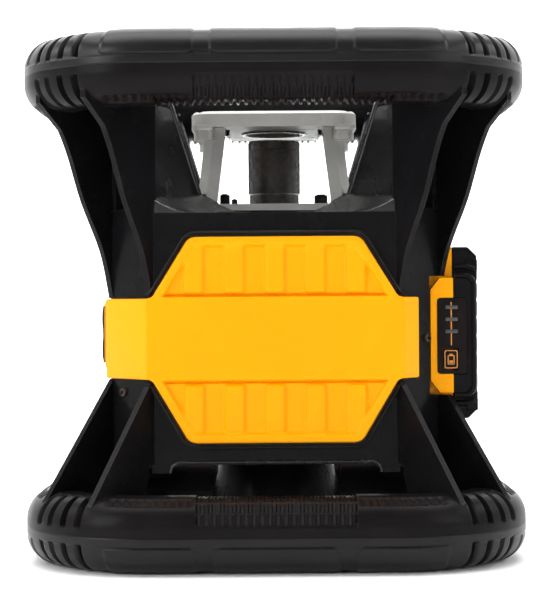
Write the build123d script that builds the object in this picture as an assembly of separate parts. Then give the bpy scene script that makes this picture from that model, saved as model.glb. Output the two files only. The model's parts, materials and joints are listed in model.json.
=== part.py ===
from build123d import *
import os

# Rotating laser level: a gimballed laser head in a glass lantern, in a roll cage of two
# square bumper rings, with a slide-on battery pack. Millimetres, +Z up, +Y to the rear,
# origin on the standing surface under the middle of the case.

# ---- bumper rings -------------------------------------------------------------------
RING_HALF = 110.0          # half the width over each ring
RING_WIDTH = 31.0          # width of the ring's tube, seen from above
RING_HEIGHT = 32.0         # height of the ring's tube
RING_CORNER = 58.0         # plan radius of the ring's outer corners
RING_ROUND = 13.0          # rounding of the tube's section
RING_WALL = 4.6            # wall of the hollow tube
OVERALL_HEIGHT = 228.0
TOP_RING_FLOOR = OVERALL_HEIGHT - RING_HEIGHT

# ---- case ---------------------------------------------------------------------------
BODY_HALF = 72.5           # half the width across the case's flats
BODY_VERTEX = 54.3         # where the corner chamfer meets a flat
BODY_WALL = 3.0
BELLY = 43.0               # underside of the case
SPLIT = 99.0               # joint between the two housings, the case's mid height
DECK = 152.0               # top of the deck
CORNER_LEDGE = 154.0       # top of the case at its chamfers
HEAD_OPENING = 26.0        # half the square opening in the deck, below the lantern
HOUSING_BOSSES = ((-54.0, -60.0), (54.0, -60.0), (-54.0, 60.0), (45.0, 60.0))
BOSS_R = 4.5
SCREW_SEAT = 86.0          # where the long screws' heads bear, inside the lower bosses
SCREW_R = 1.5
SCREW_HEAD_R = 2.8

# ---- roll cage ----------------------------------------------------------------------
FIN = 3.0                  # thickness of the cage's fins
FIN_DIR = (0.663, 0.7486)  # plan direction of a fin that leaves a front or rear face
POST_TOP = 206.0
POST_TIP_LOW = 31.8        # inner corner of a post on the diagonal, at the deck
POST_TIP_HIGH = 48.4       # the same at the top of the post

# ---- panels -------------------------------------------------------------------------
PANEL_Y = 77.0             # how far the front and rear panels stand from the middle
PANEL_BOTTOM = 52.5
PANEL_TOP = 141.4
PANEL_FLAT = 37.0          # half the panel's top edge
BAND_HALF = 53.2           # half the panel's width where the band crosses it
REAR_HALF = 46.0           # the same on the rear panel, which has no band
BAND_BOTTOM = 80.0
BAND_TOP = 115.0
BAND_PROUD = 2.2           # how far the band stands off the chamfers
BAND_RIGHT_END = 62.4
PANEL_RIB_PITCH = 17.5
PANEL_RIB = 8.8
PANEL_RIB_TALL = 21.4
PANEL_RIB_ROWS = (56.6, 115.8)
PANEL_RIB_PROUD = 1.0

# ---- tripod mounts ------------------------------------------------------------------
THREAD_R = 6.75            # minor radius of the 5/8-11 tripod threads
INSERT_R = 13.0            # outside radius of both tripod inserts
BASE_FACE = 1.0            # height of the face that meets a tripod head
REAR_MOUNT_Z = 78.0

# ---- keypad -------------------------------------------------------------------------
KEYPAD_FACE = -77.0        # face of the yellow bezel
KEYPAD_PLATE_FACE = -78.4
KEYPAD_BACK = -BODY_HALF
KEYPAD_PCB = -66.0
KEYPAD_TRAVEL = 0.8
BUTTON_Y = (-20.0, 0.0, 20.0)
BUTTON_Z = (92.0, 106.0)
BUTTON_STEM = 2.5
BUTTON_R = 5.0

# ---- lantern ------------------------------------------------------------------------
HEAD_HALF = 37.5           # half the lantern's top plate
HEAD_TOP = 199.5
HEAD_PLATE = 7.0
HEAD_BASE = 154.5
HEAD_BASE_TOP = 157.5
HEAD_APERTURE = 14.5
LEG = 9.0
LEG_TOP = 26.5             # middle of each leg at the top plate
LEG_FOOT = 30.75           # the same at the base
LUG = 31.5                 # middle of the screw lugs under the lantern's plate

# ---- gimbal, bench and levelling ----------------------------------------------------
PIVOT = 118.0              # height of both gimbal axes
GIMBAL_HALF = 5.0          # half the height of the gimbal ring
RING_IN = 35.0
RING_OUT = 39.0
BASE_IN = 41.5
BASE_OUT = 47.0
PIN_R = 2.0
BENCH_R = 14.0
FLANGE_R = 17.0
BEARING_R = 8.0
LASER_R = 7.0
RUNNING = 0.04             # radial clearance of a running fit
ARM_UNDER = 98.0           # underside of the bench's levelling arms
ARM_TIP = 43.5
PLUNGER_PLACES = ((-40.0, 0.0), (0.0, -40.0))
PLUNGER_R = 3.0
PLUNGER_GAP = 0.4          # play between a plunger's ball and its arm
LEVEL_MOTOR_TOP = 82.0

# ---- rotor and its drive ------------------------------------------------------------
ROTOR_R = 12.25
ROTOR_BOTTOM = 163.8
ROTOR_TOP = 188.8
CAP_BOTTOM = 184.2
NECK_R = 11.65
SPINDLE_R = 4.0
WINDOW_Z = 174.0           # height of the sweeping beam
MOTOR_Y = 24.0             # the motor stands this far behind the rotor's axis
MOTOR_R = 8.0
MOTOR_TOP = 135.5
BELT_LOW = 139.0
BELT_HIGH = 147.0
ROTOR_PULLEY_R = 12.0
MOTOR_PULLEY_R = 4.0
BELT_GAP = 0.3
BELT_THICK = 1.0

# ---- battery pack and its dock ------------------------------------------------------
PACK_BOTTOM = 61.0
PACK_TOP = 137.0
PACK_MID = 99.0
PACK_FRONT = -52.0
PACK_REAR = 51.0
PACK_OUT = 89.5            # outer face
PACK_IN = 66.0             # face that lies on the dock
PACK_SPLIT = 78.5          # joint between the pack's two cases
PACK_GAP = 0.4             # gap all round between pack and dock
RAIL_IN = 54.0             # tip of the pack's rail block
RAIL_HALF = 21.0
RAIL_FRONT = -38.0
LIP_IN = 60.4              # the dock's rail lips, from here
LIP_OUT = 63.4             # to here
BLADE_Z = (87.0, 95.0, 103.0, 111.0)
DOCK_FLOOR = 50.0
DOCK_FRONT = PACK_FRONT - 3.0
DOCK_BOTTOM = PACK_BOTTOM - 3.4
DOCK_TOP = PACK_TOP + 3.4
CELL_R = 9.15
CELL_LENGTH = 65.0
CELL_X = 77.6
CELL_PITCH = 18.4
CELL_FIRST = -39.3
LATCH_IN = 51.8
LATCH_FRONT = 44.8
LATCH_REAR = 49.2
LATCH_LOW = 92.0
LATCH_HIGH = 106.0
LATCH_BUTTON_X = (75.0, 83.0)
LATCH_TRAVEL = 3.5
BEZEL_Y = -57.0            # face of the pack's gauge bezel
GAUGE_X = (71.4, 84.4)
GAUGE_Z = (81.0, 114.4)
GAUGE_BUTTON = (77.3, 87.4)
GAUGE_BUTTON_W = 6.4
GAUGE_BUTTON_H = 8.6


# ---- small helpers ------------------------------------------------------------------
def block(x0, x1, y0, y1, z0, z1):
    """A box from its six limits."""
    centre = ((x0 + x1) / 2, (y0 + y1) / 2, (z0 + z1) / 2)
    return Pos(*centre) * Box(abs(x1 - x0), abs(y1 - y0), abs(z1 - z0))


def rod(radius, z0, z1, x=0.0, y=0.0):
    """A vertical cylinder between two heights."""
    return Pos(x, y, (z0 + z1) / 2) * Cylinder(radius, z1 - z0)


def rod_x(radius, x0, x1, y, z):
    """A cylinder along X."""
    return Pos((x0 + x1) / 2, y, z) * Rot(0, 90, 0) * Cylinder(radius, abs(x1 - x0))


def rod_y(radius, y0, y1, x, z):
    """A cylinder along Y."""
    return Pos(x, (y0 + y1) / 2, z) * Rot(90, 0, 0) * Cylinder(radius, abs(y1 - y0))


def tube(outer, inner, z0, z1, x=0.0, y=0.0):
    """A vertical tube."""
    return rod(outer, z0, z1, x, y) - rod(inner, z0 - 1, z1 + 1, x, y)


def prism(points, z0, z1):
    """A plan outline raised between two heights."""
    return Pos(0, 0, z0) * extrude(Polygon(*points, align=None), z1 - z0, dir=(0, 0, 1))


def front_plate(points, y0, y1):
    """An outline in X and Z, given thickness from y0 back to y1."""
    face = Plane.XZ * Polygon(*points, align=None)
    return Pos(0, y0, 0) * extrude(face, y1 - y0, dir=(0, 1, 0))


def side_plate(points, x0, x1):
    """An outline in Y and Z, given thickness from x0 to x1."""
    face = Plane.YZ * Polygon(*points, align=None)
    return Pos(x0, 0, 0) * extrude(face, x1 - x0, dir=(1, 0, 0))


def octagon(half, vertex):
    """The case's plan outline: a square with chamfered corners."""
    return [(vertex, -half), (half, -vertex), (half, vertex), (vertex, half),
            (-vertex, half), (-half, vertex), (-half, -vertex), (-vertex, -half)]


def mirrored_corners(solid):
    """The front-right corner piece turned into all four corners by reflection."""
    right_rear = mirror(solid, Plane.XZ)
    left_front = mirror(solid, Plane.YZ)
    left_rear = mirror(right_rear, Plane.YZ)
    return {"front_right": solid, "rear_right": right_rear,
            "front_left": left_front, "rear_left": left_rear}


# ---- bumper rings -------------------------------------------------------------------
def ring_solid(z0, shrink=0.0):
    """The rounded square tube of a bumper, filled, or its cavity when shrunk."""
    outer = RING_HALF - shrink
    inner = RING_HALF - RING_WIDTH + shrink
    plan = RectangleRounded(2 * outer, 2 * outer, RING_CORNER - shrink)
    plan -= RectangleRounded(2 * inner, 2 * inner, RING_CORNER - RING_WIDTH + shrink)
    height = RING_HEIGHT - 2 * shrink
    solid = Pos(0, 0, z0 + shrink) * extrude(plan, height)
    rims = solid.edges().filter_by(lambda e: abs(e.bounding_box().size.Z) < 0.01)
    return fillet(rims, RING_ROUND - shrink)


def ring_halves(z0):
    """The two mouldings that clamp together to make one hollow bumper."""
    shell = ring_solid(z0) - ring_solid(z0, RING_WALL)
    middle = z0 + RING_HEIGHT / 2
    reach = RING_HALF + 5
    lower = shell & block(-reach, reach, -reach, reach, z0 - 1, middle)
    upper = shell & block(-reach, reach, -reach, reach, middle, z0 + RING_HEIGHT + 1)
    return lower, upper


# ---- roll cage ----------------------------------------------------------------------
def fin(outline):
    """A radial fin on the case's front-right vertex; the outline is (reach, height)."""
    stand = Plane(origin=(BODY_VERTEX, -BODY_HALF, 0), x_dir=(FIN_DIR[0], -FIN_DIR[1], 0),
                  z_dir=(-FIN_DIR[1], -FIN_DIR[0], 0))
    return extrude(stand * make_face(outline), FIN / 2, both=True)


def both_fins(outline):
    """The fin and its reflection in the corner's diagonal."""
    one = fin(outline)
    return one, mirror(one, Plane(origin=(0, 0, 0), z_dir=(1, 1, 0)))


def upper_fin_outline():
    """The outer edge leaves the case, sweeps out and then runs straight up to the ring."""
    root = (-3.0, 104.0)
    shoulder = (26.9, 188.0)
    sweep = Spline(root, (0.3, 117.0), (4.7, 135.0), (14.8, 157.0), (21.9, 177.0), shoulder)
    return sweep + Polyline(shoulder, (38.0, 199.0), (38.0, POST_TOP), (-3.0, POST_TOP), root)


def lower_fin_outline():
    """A straight strut from the case down and out to the ring."""
    root = (-3.5, 84.5)
    return Polyline(root, (36.2, 28.0), (36.2, 18.0), (10.0, 18.0), (2.5, BELLY - 5.0), (2.5, BELLY),
                    (-3.5, BELLY), root)


def post_section(tip):
    """Plan of a post: a chevron from one case vertex to the inner tip and to the other."""
    nose = 0.9
    thick = 2.4
    back = 7.0
    return [(BODY_VERTEX, -BODY_HALF), (tip - nose, -tip - nose), (tip + nose, -tip + nose),
            (BODY_HALF, -BODY_VERTEX), (BODY_HALF - thick, -BODY_VERTEX - thick),
            (tip + back, -tip - back), (BODY_VERTEX + thick, -BODY_HALF + thick)]


def case_clearance():
    """The case's outside with its ledges and the yellow band, to cut the cage back to."""
    case = prism(octagon(BODY_HALF, BODY_VERTEX), BELLY, DECK)
    band = prism(octagon(BODY_HALF + BAND_PROUD, BODY_VERTEX + 1.2), BAND_BOTTOM - 0.3, BAND_TOP + 0.3)
    return case + band


def corner_ledges():
    """The case's corners reach a little above the deck."""
    corners = prism(octagon(BODY_HALF, BODY_VERTEX), DECK, CORNER_LEDGE)
    corners -= block(-BODY_VERTEX, BODY_VERTEX, -90, 90, 0, 300)
    return corners - block(-90, 90, -BODY_VERTEX, BODY_VERTEX, 0, 300)


def largest(shape):
    """The biggest solid, without the crumbs that a cut leaves."""
    return max(shape.solids(), key=lambda piece: piece.volume)


def cage_post(ring):
    """The front-right post: two folded walls, two fins and the shelf under the ring."""
    low = Plane.XY.offset(DECK) * Polygon(*post_section(POST_TIP_LOW), align=None)
    high = Plane.XY.offset(POST_TOP) * Polygon(*post_section(POST_TIP_HIGH), align=None)
    walls = loft([low, high], ruled=True)
    reach = 92.0
    shelf_inner = POST_TIP_HIGH - 3
    shelf = prism([(shelf_inner, -shelf_inner), (reach, -BODY_VERTEX), (reach, -reach),
                   (BODY_VERTEX, -reach)], POST_TOP - 6, POST_TOP)
    first, second = both_fins(upper_fin_outline())
    post = walls + first + second + shelf
    return largest(post - case_clearance() - corner_ledges() - ring)


def base_strut(ring):
    """The front-right pair of lower fins with the shelf that ties them to the ring."""
    first, second = both_fins(lower_fin_outline())
    reach = 92.0
    waist = BODY_VERTEX + 16
    shelf = prism([(BODY_VERTEX, -BODY_HALF), (BODY_HALF, -BODY_VERTEX), (reach, -waist),
                   (reach, -reach), (waist, -reach)], 24.0, 29.0)
    return largest(first + second + shelf - case_clearance() - ring)


# ---- case ---------------------------------------------------------------------------


def dock_envelope():
    """The space that the battery dock takes out of the case."""
    return block(DOCK_FLOOR, 120, DOCK_FRONT, 120, DOCK_BOTTOM, DOCK_TOP)


def pack_path():
    """Where the pack and its rails travel, which the cage's fins on the right side keep clear."""
    body = block(PACK_IN - 1, 120, PACK_FRONT - 1.5, 120, PACK_BOTTOM - 2, PACK_TOP + 2)
    rails = block(LATCH_IN - 1, PACK_IN, RAIL_FRONT, 120, PACK_MID - RAIL_HALF - 1, PACK_MID + RAIL_HALF + 1)
    return body + rails


def bezel_path():
    """Room round the pack's gauge bezel."""
    room = 0.8
    xs = [x for x, z in bezel_outline()]
    zs = [z for x, z in bezel_outline()]
    return block(min(xs) - room, 120, BEZEL_Y - 2, PACK_FRONT + 2, min(zs) - room, max(zs) + room)


def case_shell():
    """The whole octagonal case with its floor, deck and openings, before it is split."""
    outside = prism(octagon(BODY_HALF, BODY_VERTEX), BELLY, DECK)
    inner_vertex = BODY_VERTEX - 1.24
    inside = prism(octagon(BODY_HALF - BODY_WALL, inner_vertex), BELLY + BODY_WALL, DECK - BODY_WALL)
    shell = outside - inside
    shell -= block(-HEAD_OPENING, HEAD_OPENING, -HEAD_OPENING, HEAD_OPENING, DECK - 5, DECK + 5)
    shell -= rod_y(INSERT_R, BODY_HALF - 5, BODY_HALF + 5, 0, REAR_MOUNT_Z)
    shell -= dock_envelope()
    shell -= bezel_path()
    for y in BUTTON_Y:
        for z in BUTTON_Z:
            shell -= rod_x(BUTTON_STEM + 0.6, -BODY_HALF - 2, -BODY_HALF + 5, y, z)
    return shell


def upper_housing(shell):
    part = (shell & block(-90, 90, -90, 90, SPLIT, DECK)) + corner_ledges()
    for x, y in HOUSING_BOSSES:
        part += rod(BOSS_R, SPLIT, DECK - 1, x, y)
        part -= rod(SCREW_R, SPLIT - 1, SPLIT + 14, x, y)
    return part


def lower_housing(shell):
    part = shell & block(-90, 90, -90, 90, 0, SPLIT)
    tab_middle, tab_half, tab_drop = 49.5, 4.0, 3.6
    for x in (-tab_middle, tab_middle):
        part += block(x - tab_half, x + tab_half, -BODY_HALF, -BODY_HALF + 6, BELLY - tab_drop, BELLY)
    for x, y in HOUSING_BOSSES:
        part += rod(BOSS_R, BELLY + 1, SPLIT, x, y)
        part -= rod(SCREW_R + 0.3, BELLY - 1, SPLIT + 1, x, y)
        part -= rod(3.2, BELLY - 1, SCREW_SEAT, x, y)
    return part


# ---- panels -------------------------------------------------------------------------
def panel_outline(grow=0.0):
    """The elongated octagon of the front panel, in X and Z."""
    half = BAND_HALF + grow
    flat = PANEL_FLAT + grow * 0.6
    return [(-flat, PANEL_BOTTOM - grow), (flat, PANEL_BOTTOM - grow),
            (half, BAND_BOTTOM - grow * 0.5), (half, BAND_TOP + grow * 0.5),
            (flat, PANEL_TOP + grow), (-flat, PANEL_TOP + grow),
            (-half, BAND_TOP + grow * 0.5), (-half, BAND_BOTTOM - grow * 0.5)]


def panel_ribs(y0, y1):
    """Raised upright bars on the panel's upper and lower zones."""
    bars = []
    for row in PANEL_RIB_ROWS:
        for i in range(-2, 3):
            x = i * PANEL_RIB_PITCH
            bars.append(block(x - PANEL_RIB / 2, x + PANEL_RIB / 2, y0, y1, row, row + PANEL_RIB_TALL))
    return bars


def front_panel():
    face = PANEL_Y - PANEL_RIB_PROUD
    plate = front_plate(panel_outline(), -face, -BODY_HALF)
    middle = front_plate([(-BAND_HALF, BAND_BOTTOM), (BAND_HALF, BAND_BOTTOM),
                          (BAND_HALF, BAND_TOP), (-BAND_HALF, BAND_TOP)], -PANEL_Y, -face)
    plate += middle
    for bar in panel_ribs(-PANEL_Y, -face):
        plate += bar
    out = BODY_HALF + BAND_PROUD
    vertex = BODY_VERTEX + 0.6
    left = [(-BAND_HALF + 1, -PANEL_Y), (-vertex - 0.6, -PANEL_Y + 0.6), (-out, -vertex),
            (-out, -vertex + 3), (-BODY_HALF, -vertex + 3), (-BODY_HALF, -BODY_VERTEX),
            (-BODY_VERTEX, -BODY_HALF), (-BAND_HALF + 1, -BODY_HALF)]
    right = [(-x, y) for x, y in left]
    plate += prism(left, BAND_BOTTOM, BAND_TOP)
    wrap = prism(right, BAND_BOTTOM, BAND_TOP)
    plate += wrap - block(BAND_RIGHT_END, 90, -90, 0, 0, 200)
    return plate


def front_gasket():
    """A thin black seal that shows as a step round the front panel."""
    seal = front_plate(panel_outline(2.4), -BODY_HALF - 1.6, -BODY_HALF)
    seal -= front_plate(panel_outline(0.0), -PANEL_Y - 1, -BODY_HALF + 1)
    seal -= block(-90, 90, -90, -60, BAND_BOTTOM, BAND_TOP)
    edge = BAND_HALF - 1.2
    return seal & block(-edge, edge, -90, -60, 0, 300)


def rear_panel():
    """The rear cover plate, with the same ribs and a boss round the side tripod mount."""
    outline = [(-PANEL_FLAT, PANEL_BOTTOM), (PANEL_FLAT, PANEL_BOTTOM), (REAR_HALF, BAND_BOTTOM),
               (REAR_HALF, BAND_TOP), (PANEL_FLAT, PANEL_TOP), (-PANEL_FLAT, PANEL_TOP),
               (-REAR_HALF, BAND_TOP), (-REAR_HALF, BAND_BOTTOM)]
    face = PANEL_Y - PANEL_RIB_PROUD
    plate = front_plate(outline, BODY_HALF, face)
    for bar in panel_ribs(face, PANEL_Y):
        plate += bar
    plate += rod_y(INSERT_R + 6, BODY_HALF, PANEL_Y, 0, REAR_MOUNT_Z)
    return plate - rod_y(INSERT_R, BODY_HALF - 1, PANEL_Y + 1, 0, REAR_MOUNT_Z)


# ---- tripod mounts ------------------------------------------------------------------
def base_hub():
    """A tapered pedestal from the case's floor down to the tripod head."""
    floor = 8.0
    body = Pos(0, 0, (BELLY + BASE_FACE) / 2) * Cone(34.0, 26.0, BELLY - BASE_FACE)
    hollow = Pos(0, 0, (BELLY + floor) / 2) * Cone(30.0, 23.0, BELLY - floor)
    hub = body - hollow + rod(INSERT_R + 4, BASE_FACE, BELLY)
    return hub - rod(INSERT_R, 0, BELLY + 1)


def base_insert():
    """Steel 5/8-11 insert; its bore is the thread's minor diameter."""
    return tube(INSERT_R, THREAD_R, BASE_FACE, BASE_FACE + 25.0)


def rear_insert():
    body = rod_y(INSERT_R, BODY_HALF - 14, PANEL_Y, 0, REAR_MOUNT_Z)
    return body - rod_y(THREAD_R, BODY_HALF - 15, PANEL_Y + 1, 0, REAR_MOUNT_Z)


# ---- keypad on the left side --------------------------------------------------------
def keypad_bezel():
    outline = [(-34, 84), (34, 84), (38, 88), (38, 110), (34, 114), (-34, 114), (-38, 110), (-38, 88)]
    bezel = side_plate(outline, KEYPAD_FACE, KEYPAD_BACK)
    bezel = bezel - block(KEYPAD_FACE, KEYPAD_BACK - 1.5, -31, 31, 86, 112)
    for y in BUTTON_Y:
        for z in BUTTON_Z:
            bezel -= rod_x(BUTTON_STEM + 0.6, KEYPAD_FACE - 2, KEYPAD_BACK + 1, y, z)
    return bezel


def keypad_plate():
    face = Plane.YZ * RectangleRounded(62, 26, 3)
    depth = KEYPAD_BACK - 1.5 - KEYPAD_PLATE_FACE
    plate = Pos(KEYPAD_PLATE_FACE, 0, SPLIT) * extrude(face, depth, dir=(1, 0, 0))
    for y in BUTTON_Y:
        for z in BUTTON_Z:
            plate -= rod_x(BUTTON_R + 0.35, KEYPAD_PLATE_FACE - 1, KEYPAD_PLATE_FACE + 3.0, y, z)
            plate -= rod_x(BUTTON_STEM + 0.35, KEYPAD_PLATE_FACE - 1, KEYPAD_BACK + 1, y, z)
    return plate


def keypad_button(y, z):
    """A round cap with a stem that reaches the switch board; it is pressed along +X."""
    proud = 1.0
    cap = rod_x(BUTTON_R, KEYPAD_PLATE_FACE - proud, KEYPAD_PLATE_FACE + 1.2, y, z)
    return cap + rod_x(BUTTON_STEM, KEYPAD_PLATE_FACE + 1.2, KEYPAD_PCB - 3.0, y, z)


def keypad_pcb():
    """Switch board; each dome switch stands clear of its button's stem by the travel."""
    board = block(KEYPAD_PCB, KEYPAD_PCB + 1.6, -32, 32, 84, 114)
    for y in BUTTON_Y:
        for z in BUTTON_Z:
            board += rod_x(3.0, KEYPAD_PCB - 3.0 + KEYPAD_TRAVEL + 0.2, KEYPAD_PCB, y, z)
    for y in (-28, 28):
        board += block(-BODY_HALF + BODY_WALL, KEYPAD_PCB, y - 2, y + 2, 97, 101)
    return board


# ---- lantern ------------------------------------------------------------------------


def leg_section(middle, sx, sy):
    """A leg's plan: a square whose outer corner is cut off."""
    half = LEG / 2
    cut = 4.0
    outline = [(-half, -half), (half, -half), (half, half - cut), (half - cut, half), (-half, half)]
    return Polygon(*[(sx * (middle + x), sy * (middle + y)) for x, y in outline], align=None)


def head_frame():
    """The cast lantern: top plate, four leaning legs with lugs, and a base frame on feet."""
    plate_bottom = HEAD_TOP - HEAD_PLATE
    top = Pos(0, 0, plate_bottom) * extrude(RectangleRounded(2 * HEAD_HALF, 2 * HEAD_HALF, 11), HEAD_PLATE)
    rim = top.edges().filter_by(lambda e: e.bounding_box().min.Z > HEAD_TOP - 0.1)
    top = chamfer(rim, 1.2)
    base_half = HEAD_HALF + 0.5
    base = Pos(0, 0, HEAD_BASE) * extrude(RectangleRounded(2 * base_half, 2 * base_half, 10),
                                          HEAD_BASE_TOP - HEAD_BASE)
    base -= block(-HEAD_OPENING, HEAD_OPENING, -HEAD_OPENING, HEAD_OPENING, 0, 300)
    frame = top + base
    for sx in (-1, 1):
        for sy in (-1, 1):
            foot = Plane.XY.offset(HEAD_BASE_TOP - 1) * leg_section(LEG_FOOT, sx, sy)
            crown = Plane.XY.offset(plate_bottom + 1) * leg_section(LEG_TOP, sx, sy)
            frame += loft([foot, crown], ruled=True)
            lug = RectangleRounded(9.5, 9.5, 3)
            frame += Pos(sx * LUG, sy * LUG, plate_bottom - 6) * extrude(lug, 7)
            corner = [(sx * 26.2, sy * 38.2), (sx * 38.2, sy * 26.2), (sx * 39, sy * 39)]
            frame -= prism(corner, HEAD_BASE - 1, HEAD_BASE_TOP + 0.01)
            frame += block(sx * HEAD_OPENING, sx * 31.0, sy * HEAD_OPENING, sy * 31.0, DECK, HEAD_BASE + 1)
    frame -= rod(HEAD_APERTURE, 0, 300)
    frame -= rod(HEAD_APERTURE + 3, HEAD_TOP - 3, 300)
    for sx in (-1, 1):
        for sy in (-1, 1):
            frame -= rod(SCREW_R, plate_bottom - 5, 300, sx * LUG, sy * LUG)
            frame -= rod(SCREW_HEAD_R + 0.3, HEAD_TOP - 3.5, 300, sx * LUG, sy * LUG)
    return frame


def window_panes():
    """Four clear panes that lean with the legs, behind them."""
    panes = []
    z0, z1 = HEAD_BASE_TOP, HEAD_TOP - HEAD_PLATE
    y0, y1 = 26.2, 22.0
    thick = 1.8
    width0, width1 = 25.8, 21.6
    for turn in range(4):
        low = Plane.XY.offset(z0) * Pos(0, -y0 + thick / 2) * Rectangle(2 * (width0 - 2.2), thick)
        high = Plane.XY.offset(z1) * Pos(0, -y1 + thick / 2) * Rectangle(2 * (width1 - 2.2), thick)
        panes.append(Rot(0, 0, 90 * turn) * loft([low, high], ruled=True))
    return panes


def top_glass():
    return rod(HEAD_APERTURE + 2.9, HEAD_TOP - 3, HEAD_TOP - 1)


def screws_down(places, head_z, length, radius=SCREW_R, head_radius=SCREW_HEAD_R):
    """Pan-head screws with a hex socket, heads up, at (x, y) places."""
    made = []
    for x, y in places:
        screw = rod(radius - 0.02, head_z - length, head_z, x, y)
        screw += rod(head_radius, head_z, head_z + 2, x, y)
        socket = Pos(x, y, head_z + 0.8) * extrude(RegularPolygon(1.4, 6), 2)
        made.append(screw - socket)
    return made


def head_screws():
    places = [(sx * LUG, sy * LUG) for sx in (-1, 1) for sy in (-1, 1)]
    return screws_down(places, HEAD_TOP - 3.5, 6.5)


# ---- gimbal -------------------------------------------------------------------------


def gimbal_base():
    """A fixed ring that hangs from the deck on four legs."""
    base = tube(BASE_OUT, BASE_IN, PIVOT - 6, PIVOT + 6)
    for sx in (-1, 1):
        for sy in (-1, 1):
            base += block(sx * 30, sx * 35, sy * 30, sy * 35, PIVOT - 2, DECK - BODY_WALL)
    base -= rod(BASE_IN, PIVOT - 7, PIVOT + 8)
    base -= rod_y(PIN_R, -60, 60, 0, PIVOT)
    return base


def gimbal_ring():
    ring = tube(RING_OUT, RING_IN, PIVOT - GIMBAL_HALF, PIVOT + GIMBAL_HALF)
    ring -= rod_x(PIN_R, -60, 60, 0, PIVOT)
    ring -= rod_y(PIN_R + RUNNING, -60, 60, 0, PIVOT)
    return ring


def outer_pins():
    """Two pins along Y, pressed into the fixed ring."""
    rear = rod_y(PIN_R, RING_IN + 1.0, BASE_OUT, 0, PIVOT)
    return [rear, mirror(rear, Plane.XZ)]


def inner_pins():
    """Two pins along X, pressed into the gimbal ring."""
    return [rod_x(PIN_R, 27.0, RING_OUT, 0, PIVOT), rod_x(PIN_R, -RING_OUT, -27.0, 0, PIVOT)]


def optical_bench():
    """The tilting body: a tube for laser and spindle, gimbal arms and levelling arms."""
    bench = rod(BENCH_R, 76, BELT_LOW - 0.5)
    bench += rod(FLANGE_R, BELT_LOW - 3.5, BELT_LOW - 0.5)
    bridge = tube(FLANGE_R, FLANGE_R - 3, BELT_LOW - 1, BELT_HIGH + 1)
    bench += bridge - block(-30, 30, -4, 30, 0, 300)
    bench += rod(FLANGE_R, BELT_HIGH + 0.5, BELT_HIGH + 3)
    bench += rod(NECK_R, BELT_HIGH + 2, ROTOR_BOTTOM - 0.5)
    bench += block(-34.3, 34.3, -4.5, 4.5, PIVOT - 4.5, PIVOT + 4.5)
    bench += block(-ARM_TIP, 0, -5, 5, ARM_UNDER, ARM_UNDER + 5)
    bench += block(-5, 5, -ARM_TIP, 0, ARM_UNDER, ARM_UNDER + 5)
    bench += block(-7, 7, 0, MOTOR_Y + 8, MOTOR_TOP, BELT_LOW - 0.5)
    bench -= rod(LASER_R, 75, 130)
    bench -= rod(3.0, 129, 133)
    bench -= rod(BEARING_R, 132, BELT_LOW + 1)
    bench -= rod(BEARING_R, BELT_HIGH - 1, 161)
    bench -= rod(5.0, 160, 165)
    bench -= rod(3.0, MOTOR_TOP - 1, BELT_LOW, 0, MOTOR_Y)
    bench -= rod_x(PIN_R + RUNNING, -60, -26.5, 0, PIVOT)
    bench -= rod_x(PIN_R + RUNNING, 26.5, 60, 0, PIVOT)
    return bench


def laser_module():
    """Brass collimator barrel with the laser diode's can at its foot."""
    barrel = rod(LASER_R - 0.02, 86, 120) - rod(4.0, 90, 121)
    return barrel + rod(4.5, 80, 86)


def spindle_bearings():
    """Two ball bearings drawn as plain rings, pressed into the bench."""
    return [tube(BEARING_R, SPINDLE_R + RUNNING, 132.2, 137.2),
            tube(BEARING_R, SPINDLE_R + RUNNING, 155.8, 160.8)]


def spindle():
    return tube(SPINDLE_R, 2.2, 132.1, 168.0)


def rotor_head():
    head = rod(ROTOR_R, ROTOR_BOTTOM, CAP_BOTTOM)
    head -= block(-7.2, 7.2, -7.2, 7.2, 169.0, CAP_BOTTOM + 1)
    head -= rod(SPINDLE_R, ROTOR_BOTTOM - 1, 170)
    head -= rod_y(4.5, 6, 14, 0, WINDOW_Z)
    return head


def rotor_cap():
    cap = rod(ROTOR_R, CAP_BOTTOM, ROTOR_TOP)
    rim = cap.edges().filter_by(lambda e: e.bounding_box().min.Z > ROTOR_TOP - 0.1)
    return chamfer(rim, 0.8) - rod(2.5, CAP_BOTTOM - 1, ROTOR_TOP + 1)


def rotor_window():
    """Clear disc where the sweeping beam leaves, at the back of the rotor at rest."""
    return rod_y(4.5, 9.4, 11.0, 0, WINDOW_Z)


def pentaprism():
    """Five-sided prism that turns the beam from up to out, whatever the rotor's wobble."""
    side = 9.0
    slant = 1.0824 * side
    near, far = 0.3827 * slant, 0.9239 * slant
    corner_y, corner_z = 6.3, 169.2
    outline = [(corner_y, corner_z), (corner_y - side, corner_z),
               (corner_y - side - near, corner_z + far), (corner_y - far, corner_z + side + near),
               (corner_y, corner_z + side)]
    return side_plate(outline, -5.5, 5.5)


def rotor_pulley():
    pulley = rod(ROTOR_PULLEY_R, BELT_LOW, BELT_HIGH)
    return pulley - rod(SPINDLE_R, BELT_LOW - 1, BELT_HIGH + 1)


def drive_motor():
    motor = rod(MOTOR_R, 112, MOTOR_TOP, 0, MOTOR_Y)
    return motor - rod(1.0 + RUNNING, MOTOR_TOP - 12, MOTOR_TOP + 1, 0, MOTOR_Y)


def motor_pulley():
    """Small pulley in one piece with the motor's shaft."""
    shaft = rod(1.0, MOTOR_TOP - 11, BELT_LOW, 0, MOTOR_Y)
    return shaft + rod(MOTOR_PULLEY_R, BELT_LOW, BELT_HIGH, 0, MOTOR_Y)


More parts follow.
